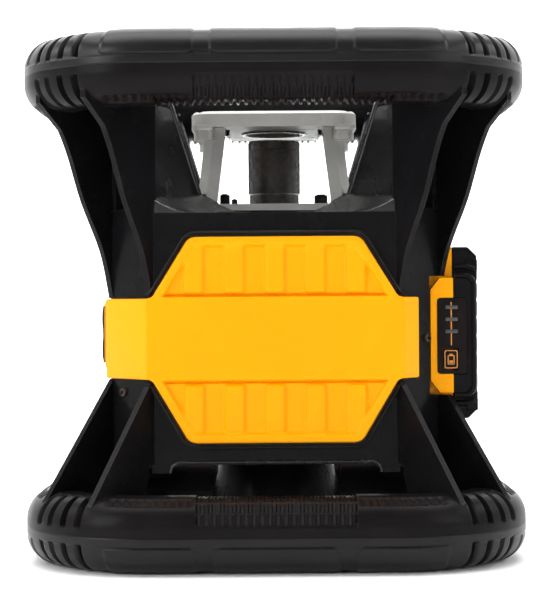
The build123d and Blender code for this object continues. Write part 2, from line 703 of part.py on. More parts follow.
def drive_belt():
    """Flat belt round both pulleys."""
    def loop(extra):
        big = Circle(ROTOR_PULLEY_R + extra)
        small = Pos(0, MOTOR_Y) * Circle(MOTOR_PULLEY_R + extra)
        return make_hull(big.edges() + small.edges())
    section = loop(BELT_GAP + BELT_THICK) - loop(BELT_GAP)
    return Pos(0, 0, BELT_LOW + 1.5) * extrude(section, BELT_HIGH - BELT_LOW - 3)


# ---- levelling ----------------------------------------------------------------------


def leveling_motors():
    """Two linear step motors that stand on the case's floor."""
    motors = []
    for x, y in PLUNGER_PLACES:
        body = rod(9.5, BELLY + BODY_WALL, LEVEL_MOTOR_TOP, x, y)
        motors.append(body - rod(PLUNGER_R + RUNNING, 56, 90, x, y))
    return motors


def leveling_plunger(x, y):
    """A plunger with a ball tip just under the bench's levelling arm."""
    tip = 2.5
    top = ARM_UNDER - PLUNGER_GAP
    return rod(PLUNGER_R, 62, top - tip - 2, x, y) + rod(tip, top - tip - 2, top - tip, x, y) \
        + Pos(x, y, top - tip) * Sphere(tip)


# ---- electronics --------------------------------------------------------------------
def main_pcb():
    board = block(-45, 38, 62, 63.6, 96, 146)
    chips = ((-30, 130, 12, 12), (0, 128, 18, 18), (26, 134, 10, 8), (-24, 106, 8, 14), (20, 108, 20, 7))
    for x, z, wide, tall in chips:
        board += block(x - wide / 2, x + wide / 2, 59.8, 62, z - tall / 2, z + tall / 2)
    for x in (-40, 33):
        board += block(x - 3, x + 3, 63.6, BODY_HALF - BODY_WALL, 118, 124)
    return board


# ---- battery dock and pack ----------------------------------------------------------


def battery_dock():
    """The moulded bay in the case's right side, open to the rear, with two rail lips."""
    g = PACK_GAP
    dock = dock_envelope() & prism(octagon(BODY_HALF, BODY_VERTEX), 0, 300)
    dock -= block(PACK_IN - g, 120, PACK_FRONT - g, 120, PACK_BOTTOM - g, PACK_TOP + g)
    rail_low, rail_high = PACK_MID - RAIL_HALF - g, PACK_MID + RAIL_HALF + g
    dock -= block(RAIL_IN - g, PACK_IN + 1, PACK_FRONT - g, 120, rail_low, rail_high)
    for low, high in ((rail_low - 1, rail_low + 3.6), (rail_high - 3.6, rail_high + 1)):
        dock += block(LIP_IN, LIP_OUT, PACK_FRONT - g, BODY_HALF - 8, low, high)
    dock -= block(DOCK_FLOOR - 1, PACK_IN - 3, PACK_FRONT, BODY_HALF - 3, DOCK_BOTTOM + 3, rail_low - 3)
    dock -= block(DOCK_FLOOR - 1, PACK_IN - 3, PACK_FRONT, BODY_HALF - 3, rail_high + 3, DOCK_TOP - 3)
    dock -= bezel_path()
    dock -= block(LATCH_IN - 0.6, RAIL_IN, LATCH_FRONT - 1, 120, LATCH_LOW - 0.6, LATCH_HIGH + 0.6)
    return dock


def dock_terminals():
    """Black contact block with four brass blades."""
    block_front = PACK_FRONT - PACK_GAP
    part = block(RAIL_IN - PACK_GAP, 62.5, block_front, RAIL_FRONT - 0.6, 82, 116)
    for z in BLADE_Z:
        part += block(56, 61, RAIL_FRONT - 0.6, RAIL_FRONT + 10, z - 0.4, z + 0.4)
    return part


def bezel_outline():
    return [(68.4, 118.0), (72.5, 123.3), (84.0, 123.3), (87.0, 120.3),
            (87.0, 75.6), (84.0, 72.6), (72.5, 72.6), (68.4, 78.0)]


def pack_body():
    """The pack's outside: body with chamfered outer edges, gauge bezel and rail block."""
    body = block(PACK_IN, PACK_OUT, PACK_FRONT, PACK_REAR, PACK_BOTTOM, PACK_TOP)
    outer = body.edges().filter_by(Axis.Y).filter_by(lambda e: e.center().X > PACK_OUT - 1)
    body = chamfer(outer, 4.0)
    bezel = front_plate(bezel_outline(), BEZEL_Y, PACK_FRONT)
    rail = block(RAIL_IN, PACK_IN, RAIL_FRONT, PACK_REAR, PACK_MID - RAIL_HALF, PACK_MID + RAIL_HALF)
    groove = 4.0
    for low in (PACK_MID - RAIL_HALF - 1, PACK_MID + RAIL_HALF - groove):
        rail -= block(LIP_IN - PACK_GAP, LIP_OUT + PACK_GAP, -90, 90, low, low + groove + 1)
    for z in BLADE_Z:
        rail -= block(55.5, 61.5, RAIL_FRONT - 1, RAIL_FRONT + 11, z - 1.0, z + 1.0)
    return body + bezel + rail


def gauge_plate(y0, y1, grow=0.0):
    middle_x = (GAUGE_X[0] + GAUGE_X[1]) / 2
    middle_z = (GAUGE_Z[0] + GAUGE_Z[1]) / 2
    wide = GAUGE_X[1] - GAUGE_X[0] + 2 * grow
    tall = GAUGE_Z[1] - GAUGE_Z[0] + 2 * grow
    face = Plane.XZ * Pos(middle_x, middle_z) * RectangleRounded(wide, tall, 1.5)
    return Pos(0, y1, 0) * extrude(face, y1 - y0)


def gauge_button_block(y0, y1, grow):
    x, z = GAUGE_BUTTON
    return block(x - GAUGE_BUTTON_W / 2 - grow, x + GAUGE_BUTTON_W / 2 + grow, y0, y1,
                 z - GAUGE_BUTTON_H / 2 - grow, z + GAUGE_BUTTON_H / 2 + grow)


def pack_cases():
    """Yellow upper case with the rails, and black lower case."""
    body = pack_body()
    wall = 2.5
    body -= block(PACK_IN + 2.2, PACK_OUT - 1.5, PACK_FRONT + wall, LATCH_REAR + 0.4,
                  PACK_BOTTOM + wall, PACK_TOP - wall)
    body -= gauge_plate(BEZEL_Y - 1, BEZEL_Y + 1.0)
    body -= gauge_button_block(BEZEL_Y - 1, -53.5, 0.3)
    body -= block(LATCH_IN - 2, PACK_OUT - 1.5, LATCH_FRONT - 0.4, LATCH_REAR + 0.4,
                  LATCH_LOW - 0.4, LATCH_HIGH + 0.4)
    body -= block(LATCH_BUTTON_X[0] - 0.4, LATCH_BUTTON_X[1] + LATCH_TRAVEL + 0.4, LATCH_REAR - 1, 60,
                  LATCH_LOW - 3.4, LATCH_HIGH + 3.4)
    upper = body & block(0, PACK_SPLIT, -90, 90, 0, 300)
    lower = body & block(PACK_SPLIT, 120, -90, 90, 0, 300)
    return upper, lower


def pack_latch():
    """Release button, web and catch in one sprung slider at the pack's rear end."""
    web = block(LATCH_IN, LATCH_BUTTON_X[1], LATCH_FRONT, LATCH_REAR, LATCH_LOW, LATCH_HIGH)
    button = block(LATCH_BUTTON_X[0], LATCH_BUTTON_X[1], LATCH_REAR - 0.5, PACK_REAR + 2.5,
                   LATCH_LOW - 3, LATCH_HIGH + 3)
    return web + button


def pack_cells():
    """Five lithium cells standing on end, side by side."""
    low = PACK_MID - CELL_LENGTH / 2
    return [rod(CELL_R, low, low + CELL_LENGTH, CELL_X, CELL_FIRST + CELL_PITCH * i) for i in range(5)]


def gauge_panel():
    panel = gauge_plate(BEZEL_Y - 0.3, BEZEL_Y + 1.0)
    for z in (110.3, 105.0, 99.7):
        panel += block(75.0, 80.4, BEZEL_Y - 0.5, BEZEL_Y, z - 0.8, z + 0.8)
    return panel - gauge_button_block(BEZEL_Y - 2, BEZEL_Y + 2, 0.3)


def gauge_button():
    return gauge_button_block(BEZEL_Y - 1.1, -54.3, 0.0)


# ---- fasteners ----------------------------------------------------------------------


def housing_screws():
    """Four long screws that pull the two housings together, heads down."""
    made = []
    for x, y in HOUSING_BOSSES:
        made.append(rod(2.8, SCREW_SEAT - 2, SCREW_SEAT, x, y) + rod(SCREW_R, SCREW_SEAT, SPLIT + 12, x, y))
    return made


def panel_screw_places():
    return [(x, z) for x in (-31.0, 31.0) for z in (61.0, 133.0)]


def panel_screws():
    made = []
    for x, z in panel_screw_places():
        shank = rod_y(SCREW_R, BODY_HALF - 4, PANEL_Y - 1.4, x, z)
        head = rod_y(SCREW_HEAD_R, PANEL_Y - 2.4, PANEL_Y - 1.0, x, z)
        made.append(shank + head)
    return made


# ---- build and write ----------------------------------------------------------------
def group(solids):
    """Identical pieces kept as separate solids in one node."""
    return Compound(children=[s if isinstance(s, Solid) else s.solids()[0] for s in solids])


def build():
    parts = {}
    top_ring = ring_solid(TOP_RING_FLOOR)
    base_ring = ring_solid(0.0)
    parts["top_bumper_lower"], parts["top_bumper_upper"] = ring_halves(TOP_RING_FLOOR)
    parts["bottom_bumper_lower"], parts["bottom_bumper_upper"] = ring_halves(0.0)

    for name, post in mirrored_corners(cage_post(top_ring)).items():
        if name.endswith("right"):
            post = largest(post - pack_path() - bezel_path())
        parts["cage_post_" + name] = post
    struts = []
    for name, strut in mirrored_corners(base_strut(base_ring)).items():
        if name.endswith("right"):
            strut = largest(strut - pack_path() - bezel_path())
        struts.append(strut)
    parts["base_struts"] = group(struts)

    shell = case_shell()
    upper = upper_housing(shell)
    lower = lower_housing(shell)
    for x, z in panel_screw_places():
        hole = rod_y(SCREW_R, BODY_HALF - 5, BODY_HALF + 1, x, z)
        upper -= hole
        lower -= hole
    parts["upper_housing"] = upper
    parts["lower_housing"] = lower
    parts["base_hub"] = base_hub()
    parts["base_tripod_insert"] = base_insert()
    parts["front_panel"] = front_panel()
    parts["front_gasket"] = front_gasket()
    cover = rear_panel()
    for x, z in panel_screw_places():
        cover -= rod_y(SCREW_R, BODY_HALF - 1, PANEL_Y + 1, x, z)
        cover -= rod_y(SCREW_HEAD_R + 0.3, PANEL_Y - 2.4, PANEL_Y + 1, x, z)
    parts["rear_panel"] = cover
    parts["rear_tripod_insert"] = rear_insert()
    parts["panel_screws"] = group(panel_screws())
    parts["housing_screws"] = group(housing_screws())

    parts["keypad_bezel"] = keypad_bezel()
    parts["keypad_plate"] = keypad_plate()
    parts["keypad_pcb"] = keypad_pcb()
    keys = ("speed", "power", "scan", "slope_left", "manual", "slope_right")
    places = [(y, z) for z in reversed(BUTTON_Z) for y in BUTTON_Y]
    for key, (y, z) in zip(keys, places):
        parts["button_" + key] = keypad_button(y, z)

    parts["head_frame"] = head_frame()
    parts["window_panes"] = group(window_panes())
    parts["top_glass"] = top_glass()
    parts["head_screws"] = group(head_screws())
    parts["gimbal_base"] = gimbal_base()
    parts["gimbal_ring"] = gimbal_ring()
    parts["gimbal_outer_pins"] = group(outer_pins())
    parts["gimbal_inner_pins"] = group(inner_pins())
    parts["optical_bench"] = optical_bench()
    parts["laser_module"] = laser_module()
    parts["spindle_bearings"] = group(spindle_bearings())
    parts["spindle"] = spindle()
    parts["rotor_head"] = rotor_head()
    parts["rotor_cap"] = rotor_cap()
    parts["rotor_window"] = rotor_window()
    parts["pentaprism"] = pentaprism()
    parts["rotor_pulley"] = rotor_pulley()
    parts["drive_motor"] = drive_motor()
    parts["motor_pulley"] = motor_pulley()
    parts["drive_belt"] = drive_belt()
    parts["leveling_motors"] = group(leveling_motors())
    parts["leveling_plunger_x"] = leveling_plunger(*PLUNGER_PLACES[0])
    parts["leveling_plunger_y"] = leveling_plunger(*PLUNGER_PLACES[1])
    parts["main_pcb"] = main_pcb()

    parts["battery_dock"] = battery_dock()
    parts["dock_terminals"] = dock_terminals()
    parts["pack_upper_case"], parts["pack_lower_case"] = pack_cases()
    parts["pack_cells"] = group(pack_cells())
    parts["pack_latch"] = pack_latch()
    parts["gauge_panel"] = gauge_panel()
    parts["gauge_button"] = gauge_button()
    return parts


os.makedirs("parts", exist_ok=True)
for node, solid in build().items():
    export_step(solid, "parts/" + node + ".step")
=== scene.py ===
import json
import math

import bmesh
import bpy
import numpy as np
from mathutils import Matrix, Vector


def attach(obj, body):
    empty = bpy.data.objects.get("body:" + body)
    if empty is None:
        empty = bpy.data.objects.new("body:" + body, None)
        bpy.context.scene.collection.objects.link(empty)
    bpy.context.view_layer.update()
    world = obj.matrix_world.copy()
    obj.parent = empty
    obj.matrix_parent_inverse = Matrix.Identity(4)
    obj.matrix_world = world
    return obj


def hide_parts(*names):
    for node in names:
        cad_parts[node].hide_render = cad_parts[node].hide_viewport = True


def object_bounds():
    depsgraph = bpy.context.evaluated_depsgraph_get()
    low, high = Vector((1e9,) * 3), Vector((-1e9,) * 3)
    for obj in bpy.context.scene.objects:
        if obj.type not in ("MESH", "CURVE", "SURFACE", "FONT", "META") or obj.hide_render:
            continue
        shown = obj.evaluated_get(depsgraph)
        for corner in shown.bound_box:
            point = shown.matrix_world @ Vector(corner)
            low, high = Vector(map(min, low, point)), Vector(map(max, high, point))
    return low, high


# The shared frame is in metres, Z up, with the front towards -Y. Lengths inside the functions are in
# millimetres and are scaled by MM where vertices are made.
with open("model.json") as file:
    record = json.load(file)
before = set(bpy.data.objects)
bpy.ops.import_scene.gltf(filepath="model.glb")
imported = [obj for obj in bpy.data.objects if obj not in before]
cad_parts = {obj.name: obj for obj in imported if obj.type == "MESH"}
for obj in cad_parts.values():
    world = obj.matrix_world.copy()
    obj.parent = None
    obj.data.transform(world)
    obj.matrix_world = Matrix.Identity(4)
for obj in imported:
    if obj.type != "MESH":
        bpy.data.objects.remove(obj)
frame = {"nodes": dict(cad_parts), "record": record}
NODES = frame["nodes"]
BODIES = frame["record"]["behaviour"]["bodies"]
BODY_OF = {node: body for body, names in BODIES.items() for node in names}
SLOT_OF = {row["node"]: row["material_slot"] for row in frame["record"]["subparts"]}
CAD_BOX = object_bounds()
MM = 0.001
QUADRANTS = [(sx, sy) for sx in (-1.0, 1.0) for sy in (-1.0, 1.0)]
scene = bpy.context.scene


# ---- materials ----------------------------------------------------------------------
class Shader:
    """A Principled material with a few short calls for the nodes that give it its detail."""

    def __init__(self, name, color, roughness, metallic=0.0):
        self.material = bpy.data.materials.new(name)
        self.material.use_nodes = True
        self.nodes = self.material.node_tree.nodes
        self.links = self.material.node_tree.links
        self.bsdf = self.nodes["Principled BSDF"]
        self.bsdf.inputs["Base Color"].default_value = (*color, 1.0)
        self.bsdf.inputs["Roughness"].default_value = roughness
        self.bsdf.inputs["Metallic"].default_value = metallic
        self.coords = self.nodes.new("ShaderNodeTexCoord").outputs["Object"]
        self.color = color
        self.normal = None

    def noise(self, size_mm, detail=3.0, rough=0.5, stretch=None):
        """Noise whose features are about size_mm across, in metres of the shared frame."""
        source = self.coords
        if stretch is not None:
            mapping = self.nodes.new("ShaderNodeMapping")
            mapping.inputs["Scale"].default_value = stretch
            self.links.new(source, mapping.inputs["Vector"])
            source = mapping.outputs["Vector"]
        node = self.nodes.new("ShaderNodeTexNoise")
        node.inputs["Scale"].default_value = 1000.0 / size_mm
        node.inputs["Detail"].default_value = detail
        node.inputs["Roughness"].default_value = rough
        self.links.new(source, node.inputs["Vector"])
        return node.outputs["Fac"]

    def cells(self, size_mm):
        """Round cells, for the pebbled grain of moulded plastic."""
        node = self.nodes.new("ShaderNodeTexVoronoi")
        node.inputs["Scale"].default_value = 1000.0 / size_mm
        self.links.new(self.coords, node.inputs["Vector"])
        return node.outputs["Distance"]

    def ramp(self, value, low, high, out_low=0.0, out_high=1.0):
        """value from low..high mapped to out_low..out_high, clamped."""
        node = self.nodes.new("ShaderNodeMapRange")
        node.inputs["From Min"].default_value = low
        node.inputs["From Max"].default_value = high
        node.inputs["To Min"].default_value = out_low
        node.inputs["To Max"].default_value = out_high
        self.links.new(value, node.inputs["Value"])
        return node.outputs["Result"]

    def multiply(self, a, b):
        """The product of two factors."""
        node = self.nodes.new("ShaderNodeMath")
        node.operation = "MULTIPLY"
        self.links.new(a, node.inputs[0])
        self.links.new(b, node.inputs[1])
        return node.outputs[0]

    def edges(self, radius_mm):
        """Near 1 on convex and concave edges, 0 on flats: where wear and polish gather."""
        bevel = self.nodes.new("ShaderNodeBevel")
        bevel.samples = 6
        bevel.inputs["Radius"].default_value = radius_mm * MM
        geometry = self.nodes.new("ShaderNodeNewGeometry")
        dot = self.nodes.new("ShaderNodeVectorMath")
        dot.operation = "DOT_PRODUCT"
        self.links.new(bevel.outputs["Normal"], dot.inputs[0])
        self.links.new(geometry.outputs["Normal"], dot.inputs[1])
        return self.ramp(dot.outputs["Value"], 0.995, 0.85)

    def tint(self, factor, color):
        """Mixes the colour so far towards another where factor is high."""
        mix = self.nodes.new("ShaderNodeMix")
        mix.data_type = "RGBA"
        socket = self.bsdf.inputs["Base Color"]
        if socket.is_linked:
            self.links.new(socket.links[0].from_socket, mix.inputs["A"])
        else:
            mix.inputs["A"].default_value = (*self.color, 1.0)
        mix.inputs["B"].default_value = (*color, 1.0)
        self.links.new(factor, mix.inputs["Factor"])
        self.links.new(mix.outputs["Result"], socket)
        return self

    def vary_roughness(self, factor, low, high):
        """Lets the roughness wander between low and high."""
        self.links.new(self.ramp(factor, 0.3, 0.7, low, high), self.bsdf.inputs["Roughness"])
        return self

    def bump(self, height, depth_mm, strength=1.0):
        """Adds fine relief on top of any that is already there."""
        node = self.nodes.new("ShaderNodeBump")
        node.inputs["Distance"].default_value = depth_mm * MM
        node.inputs["Strength"].default_value = strength
        self.links.new(height, node.inputs["Height"])
        if self.normal is not None:
            self.links.new(self.normal, node.inputs["Normal"])
        self.normal = node.outputs["Normal"]
        self.links.new(self.normal, self.bsdf.inputs["Normal"])
        return self

    def set(self, **values):
        """Sets the shader's own sockets, named with underscores for spaces."""
        for key, value in values.items():
            self.bsdf.inputs[key.replace("_", " ")].default_value = value
        return self


def lighter(color, by):
    return tuple(min(1.0, channel * by) for channel in color)


def black_rubber(name="black_rubber", shine=0.07):
    base = (0.0055, 0.0048, 0.0052)
    s = Shader(name, base, 0.34)
    s.set(Specular_IOR_Level=shine)
    s.tint(s.ramp(s.noise(22.0, 4.0), 0.4, 0.75), lighter(base, 1.5))
    s.tint(s.ramp(s.noise(3.0, 6.0, 0.7), 0.62, 0.8, 0.0, 0.35), (0.016, 0.0155, 0.016))
    s.vary_roughness(s.noise(9.0, 5.0, 0.6), 0.29, 0.38)
    s.bump(s.cells(0.55), 0.012, 0.4)
    s.bump(s.noise(0.25, 2.0), 0.008, 0.3)
    return s.material


def black_plastic(name="black_plastic", shine=0.08):
    base = (0.0048, 0.0044, 0.0050)
    s = Shader(name, base, 0.26)
    s.set(Specular_IOR_Level=shine)
    s.tint(s.ramp(s.noise(30.0, 4.0), 0.4, 0.75), lighter(base, 1.45))
    s.tint(s.multiply(s.edges(0.7), s.ramp(s.noise(5.0, 5.0, 0.7), 0.35, 0.65, 0.1, 0.6)),
           (0.045, 0.043, 0.046))
    s.vary_roughness(s.noise(12.0, 5.0, 0.6), 0.22, 0.30)
    s.bump(s.cells(0.45), 0.008, 0.35)
    s.bump(s.noise(0.2, 2.0), 0.005, 0.3)
    return s.material


def yellow_plastic():
    base = (0.97, 0.372, 0.0004)
    s = Shader("yellow_plastic", base, 0.36)
    s.set(Specular_IOR_Level=0.10)
    s.tint(s.ramp(s.noise(28.0, 4.0), 0.35, 0.8, 0.0, 0.5), (0.93, 0.350, 0.0012))
    s.tint(s.ramp(s.noise(1.6, 6.0, 0.75), 0.66, 0.8, 0.0, 0.25), (0.80, 0.31, 0.003))
    s.vary_roughness(s.noise(10.0, 5.0, 0.6), 0.31, 0.43)
    s.bump(s.cells(0.5), 0.014, 0.4)
    s.bump(s.noise(0.22, 2.0), 0.010, 0.3)
    return s.material


def cast_aluminium():
    base = (0.41, 0.405, 0.385)
    s = Shader("cast_aluminium", base, 0.5, metallic=0.6)
    s.tint(s.ramp(s.noise(7.0, 6.0, 0.7), 0.35, 0.7, 0.0, 0.6), (0.35, 0.345, 0.33))
    s.tint(s.multiply(s.edges(0.6), s.ramp(s.noise(3.0), 0.3, 0.7, 0.2, 0.8)), (0.52, 0.51, 0.50))
    s.vary_roughness(s.noise(4.0, 5.0, 0.6), 0.42, 0.60)
    s.bump(s.noise(0.7, 4.0, 0.65), 0.06, 0.55)
    return s.material


def clear_glass():
    """Coated glass, which reflects little."""
    s = Shader("clear_glass", (0.97, 0.985, 0.98), 0.015)
    s.set(Transmission_Weight=1.0, IOR=1.10)
    s.bump(s.noise(40.0, 1.0), 0.004, 0.2)
    return s.material


def steel():
    base = (0.42, 0.42, 0.43)
    s = Shader("steel", base, 0.3, metallic=1.0)
    s.tint(s.ramp(s.noise(4.0, 5.0, 0.7), 0.4, 0.75, 0.0, 0.5), (0.30, 0.29, 0.29))
    s.vary_roughness(s.noise(1.2, 5.0, 0.6), 0.24, 0.40)
    s.bump(s.noise(0.35, 3.0, 0.5, stretch=(1.0, 1.0, 6.0)), 0.02, 0.4)
    return s.material


def brass():
    base = (0.62, 0.42, 0.16)
    s = Shader("brass", base, 0.32, metallic=1.0)
    s.tint(s.ramp(s.noise(3.0, 5.0, 0.7), 0.4, 0.75, 0.0, 0.6), (0.42, 0.27, 0.10))
    s.vary_roughness(s.noise(1.5, 5.0), 0.25, 0.42)
    s.bump(s.noise(0.3, 3.0, 0.5, stretch=(1.0, 1.0, 5.0)), 0.015, 0.4)
    return s.material


def machined_aluminium():
    base = (0.60, 0.60, 0.61)
    s = Shader("machined_aluminium", base, 0.28, metallic=1.0)
    s.tint(s.ramp(s.noise(6.0, 4.0), 0.4, 0.75, 0.0, 0.4), (0.48, 0.48, 0.49))
    s.vary_roughness(s.noise(2.0, 5.0), 0.22, 0.36)
    s.bump(s.noise(0.4, 2.0, 0.5, stretch=(1.0, 1.0, 8.0)), 0.015, 0.4)
    return s.material


def rotor_black():
    base = (0.026, 0.0185, 0.0145)
    s = Shader("rotor_black", base, 0.25)
    s.set(Specular_IOR_Level=0.30)
    s.tint(s.ramp(s.noise(8.0, 4.0), 0.4, 0.75), lighter(base, 1.4))
    s.tint(s.multiply(s.edges(0.5), s.ramp(s.noise(2.0), 0.4, 0.6, 0.1, 0.6)), (0.06, 0.058, 0.056))
    s.vary_roughness(s.noise(3.0, 5.0), 0.22, 0.32)
    s.bump(s.noise(0.3, 3.0, 0.5, stretch=(1.0, 1.0, 0.15)), 0.004, 0.3)
    return s.material


def green_board():
    base = (0.012, 0.085, 0.035)
    s = Shader("green_board", base, 0.35)
    s.tint(s.ramp(s.noise(2.0, 2.0), 0.5, 0.56), (0.03, 0.16, 0.06))
    s.vary_roughness(s.noise(3.0, 4.0), 0.28, 0.45)
    s.bump(s.noise(1.0, 3.0), 0.03, 0.4)
    return s.material


def cell_sleeve():
    base = (0.02, 0.09, 0.25)
    s = Shader("cell_sleeve", base, 0.25)
    s.tint(s.ramp(s.noise(9.0, 4.0), 0.4, 0.75), lighter(base, 1.3))
    s.vary_roughness(s.noise(3.0, 4.0), 0.18, 0.34)
    s.bump(s.noise(1.5, 3.0), 0.03, 0.3)
    return s.material


def seal_rubber():
    base = (0.006, 0.006, 0.006)
    s = Shader("seal_rubber", base, 0.50)
    s.set(Specular_IOR_Level=0.30)
    s.tint(s.ramp(s.noise(3.0, 5.0), 0.45, 0.75), lighter(base, 2.0))
    s.vary_roughness(s.noise(2.0, 4.0), 0.55, 0.72)
    s.bump(s.noise(0.4, 3.0), 0.03, 0.5)
    return s.material


def keypad_black():
    base = (0.009, 0.0078, 0.0078)
    s = Shader("keypad_black", base, 0.40)
    s.set(Specular_IOR_Level=0.25)
    s.tint(s.ramp(s.noise(10.0, 4.0), 0.4, 0.75), lighter(base, 1.4))
    s.vary_roughness(s.noise(4.0, 5.0), 0.36, 0.50)
    s.bump(s.cells(0.35), 0.012, 0.5)
    return s.material


def button_rubber():
    base = (0.075, 0.075, 0.078)
    s = Shader("button_rubber", base, 0.55)
    s.tint(s.ramp(s.noise(4.0, 5.0), 0.4, 0.75), lighter(base, 1.35))
    s.vary_roughness(s.noise(2.0, 4.0), 0.48, 0.62)
    s.bump(s.cells(0.3), 0.012, 0.5)
    return s.material


def gauge_dark():
    base = (0.009, 0.0065, 0.0065)
    s = Shader("gauge_dark", base, 0.2)
    s.set(Specular_IOR_Level=0.08)
    s.tint(s.ramp(s.noise(6.0, 4.0), 0.4, 0.75), lighter(base, 1.5))
    s.vary_roughness(s.noise(3.0, 4.0), 0.15, 0.28)
    s.bump(s.noise(0.5, 3.0), 0.006, 0.4)
    return s.material


MAKERS = (black_rubber, black_plastic, yellow_plastic, cast_aluminium, clear_glass, steel, brass,
          machined_aluminium, rotor_black, green_board, cell_sleeve, seal_rubber, keypad_black,
          button_rubber, gauge_dark)
MATERIALS = {maker.__name__: maker() for maker in MAKERS}


def lamp_bar():
    """Unlit grey light bars of the charge gauge."""
    s = Shader("lamp_bar", (0.055, 0.054, 0.052), 0.3)
    s.tint(s.ramp(s.noise(1.0, 3.0), 0.4, 0.7, 0.0, 0.5), (0.038, 0.037, 0.036))
    s.vary_roughness(s.noise(1.0), 0.25, 0.4)
    return s.material


def orange_print():
    """The printed outline and line on the gauge."""
    s = Shader("orange_print", (0.62, 0.24, 0.03), 0.45)
    s.tint(s.ramp(s.noise(0.8, 4.0), 0.45, 0.75, 0.0, 0.5), (0.45, 0.17, 0.02))
    s.vary_roughness(s.noise(0.7), 0.38, 0.52)
    return s.material


LAMP_BAR = lamp_bar()
ORANGE_PRINT = orange_print()
CROWN_RUBBER = black_rubber("crown_rubber", 0.22)
DULL_PLASTIC = black_plastic("dull_plastic", 0.05)
BRIGHT_PLASTIC = black_plastic("bright_plastic", 0.60)
DULL_NODES = ("cage_post", "base_struts", "base_hub")
LOOK_OF = {node: DULL_PLASTIC if node.startswith(DULL_NODES) else MATERIALS[slot]
           for node, slot in SLOT_OF.items()}


# ---- mesh helpers -------------------------------------------------------------------
def new_object(name, mesh, material, body, sharp=35.0):
    """A finished piece in the shared frame, riding on a body."""
    mesh.materials.clear()
    mesh.materials.append(material)
    mesh.shade_smooth()
    mesh.set_sharp_from_angle(angle=math.radians(sharp))
    obj = bpy.data.objects.new(name, mesh)
    scene.collection.objects.link(obj)
    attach(obj, body)
    return obj


def clean_copy(node):
    """The CAD node's mesh with its split vertices welded and its flats made whole again."""
    bm = bmesh.new()
    bm.from_mesh(NODES[node].data)
    bmesh.ops.remove_doubles(bm, verts=bm.verts, dist=0.004 * MM)
    bmesh.ops.dissolve_limit(bm, angle_limit=math.radians(0.6), verts=bm.verts, edges=bm.edges)
    return bm


def softened(node, radius_mm):
    """Stands for a CAD node: the same shape with every edge rounded."""
    bm = clean_copy(node)
    mesh = bpy.data.meshes.new(node + "_soft")
    bm.to_mesh(mesh)
    bm.free()
    obj = new_object(node + "_soft", mesh, LOOK_OF[node], BODY_OF[node])
    bevel = obj.modifiers.new("bevel", "BEVEL")
    bevel.width = radius_mm * MM
    bevel.segments = 3
    bevel.limit_method = "ANGLE"
    bevel.angle_limit = math.radians(32.0)
    bevel.use_clamp_overlap = True
    bevel.harden_normals = False
    weighted = obj.modifiers.new("weighted", "WEIGHTED_NORMAL")
    weighted.keep_sharp = True
    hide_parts(node)


def bridge(bm, rings):
    """Quads between each closed ring of vertices and the next."""
    for a, b in zip(rings[:-1], rings[1:]):
        for i in range(len(a)):
            k = (i + 1) % len(a)
            bm.faces.new((a[i], a[k], b[k], b[i]))


def angles_round(sides):
    """The angles of a regular polygon's corners."""
    return np.linspace(0.0, 2 * math.pi, sides, endpoint=False)


def round_edges(bm, edges, radius_mm, segments):
    bmesh.ops.bevel(bm, geom=edges, offset=radius_mm * MM, segments=segments, profile=0.5,
                    affect="EDGES", clamp_overlap=True)


def merge(bm, part):
    """Moves one finished bmesh into another."""
    mesh = bpy.data.meshes.new("part")
    part.to_mesh(mesh)
    part.free()
    bm.from_mesh(mesh)
    bpy.data.meshes.remove(mesh)


# ---- bumper rings -------------------------------------------------------------------
RING = {"half": 110.0, "width": 31.0, "height": 32.0, "corner": 58.0, "round": 13.0}


def smoothstep(x, low, high):
    t = np.clip((x - low) / (high - low), 0.0, 1.0)
    return t * t * (3.0 - 2.0 * t)


def between(x, low, high, soft):
    """1 inside low..high, 0 outside, with soft flanks."""
    return smoothstep(x, low - soft, low) * (1.0 - smoothstep(x, high, high + soft))


def steps(*spans):
    """Evenly spaced values over several spans, each (low, high, pitch)."""
    rows = [np.arange(low, high - 0.4 * pitch, pitch) for low, high, pitch in spans]
    return np.concatenate(rows + [[spans[-1][1]]])


def section_point(w):
    """Point and outward normal at w along the tube's upper half section, from the outermost
    point over the top to the innermost one, in (out, up)."""
    half_w, half_h, r = RING["width"] / 2, RING["height"] / 2, RING["round"]
    flat_w, flat_h = half_w - r, half_h - r
    quarter = math.pi * r / 2
    if w <= flat_h:
        return (half_w, w), (1.0, 0.0)
    w -= flat_h
    if w <= quarter:
        a = w / r
        return (flat_w + r * math.cos(a), flat_h + r * math.sin(a)), (math.cos(a), math.sin(a))
    w -= quarter
    if w <= 2 * flat_w:
        return (flat_w - w, half_h), (0.0, 1.0)
    w -= 2 * flat_w
    if w <= quarter:
        a = math.pi / 2 + w / r
        return (-flat_w + r * math.cos(a), flat_h + r * math.sin(a)), (math.cos(a), math.sin(a))
    w -= quarter
    return (-half_w, flat_h - w), (-1.0, 0.0)


RIB_PITCH = 3.3
RIB_ZONE = 33.2            # half the length of the middle rib zone
TEETH = 49.0               # half the length of the toothed stretch beneath
STADIUM = (34.4, 68.0)     # the short rib zones beside the middle one, start and end
SEAM_HALF = 0.20
SEAM_DEPTH = 0.18
STRAIGHT = RING["half"] - RING["corner"]
CORNER_MIDDLE = RING["corner"] - RING["width"] / 2
EIGHTH = STRAIGHT + CORNER_MIDDLE * math.pi / 4


def seam(off):
    """The fine groove at the parting line."""
    return SEAM_DEPTH * np.exp(-(off / SEAM_HALF) ** 2)


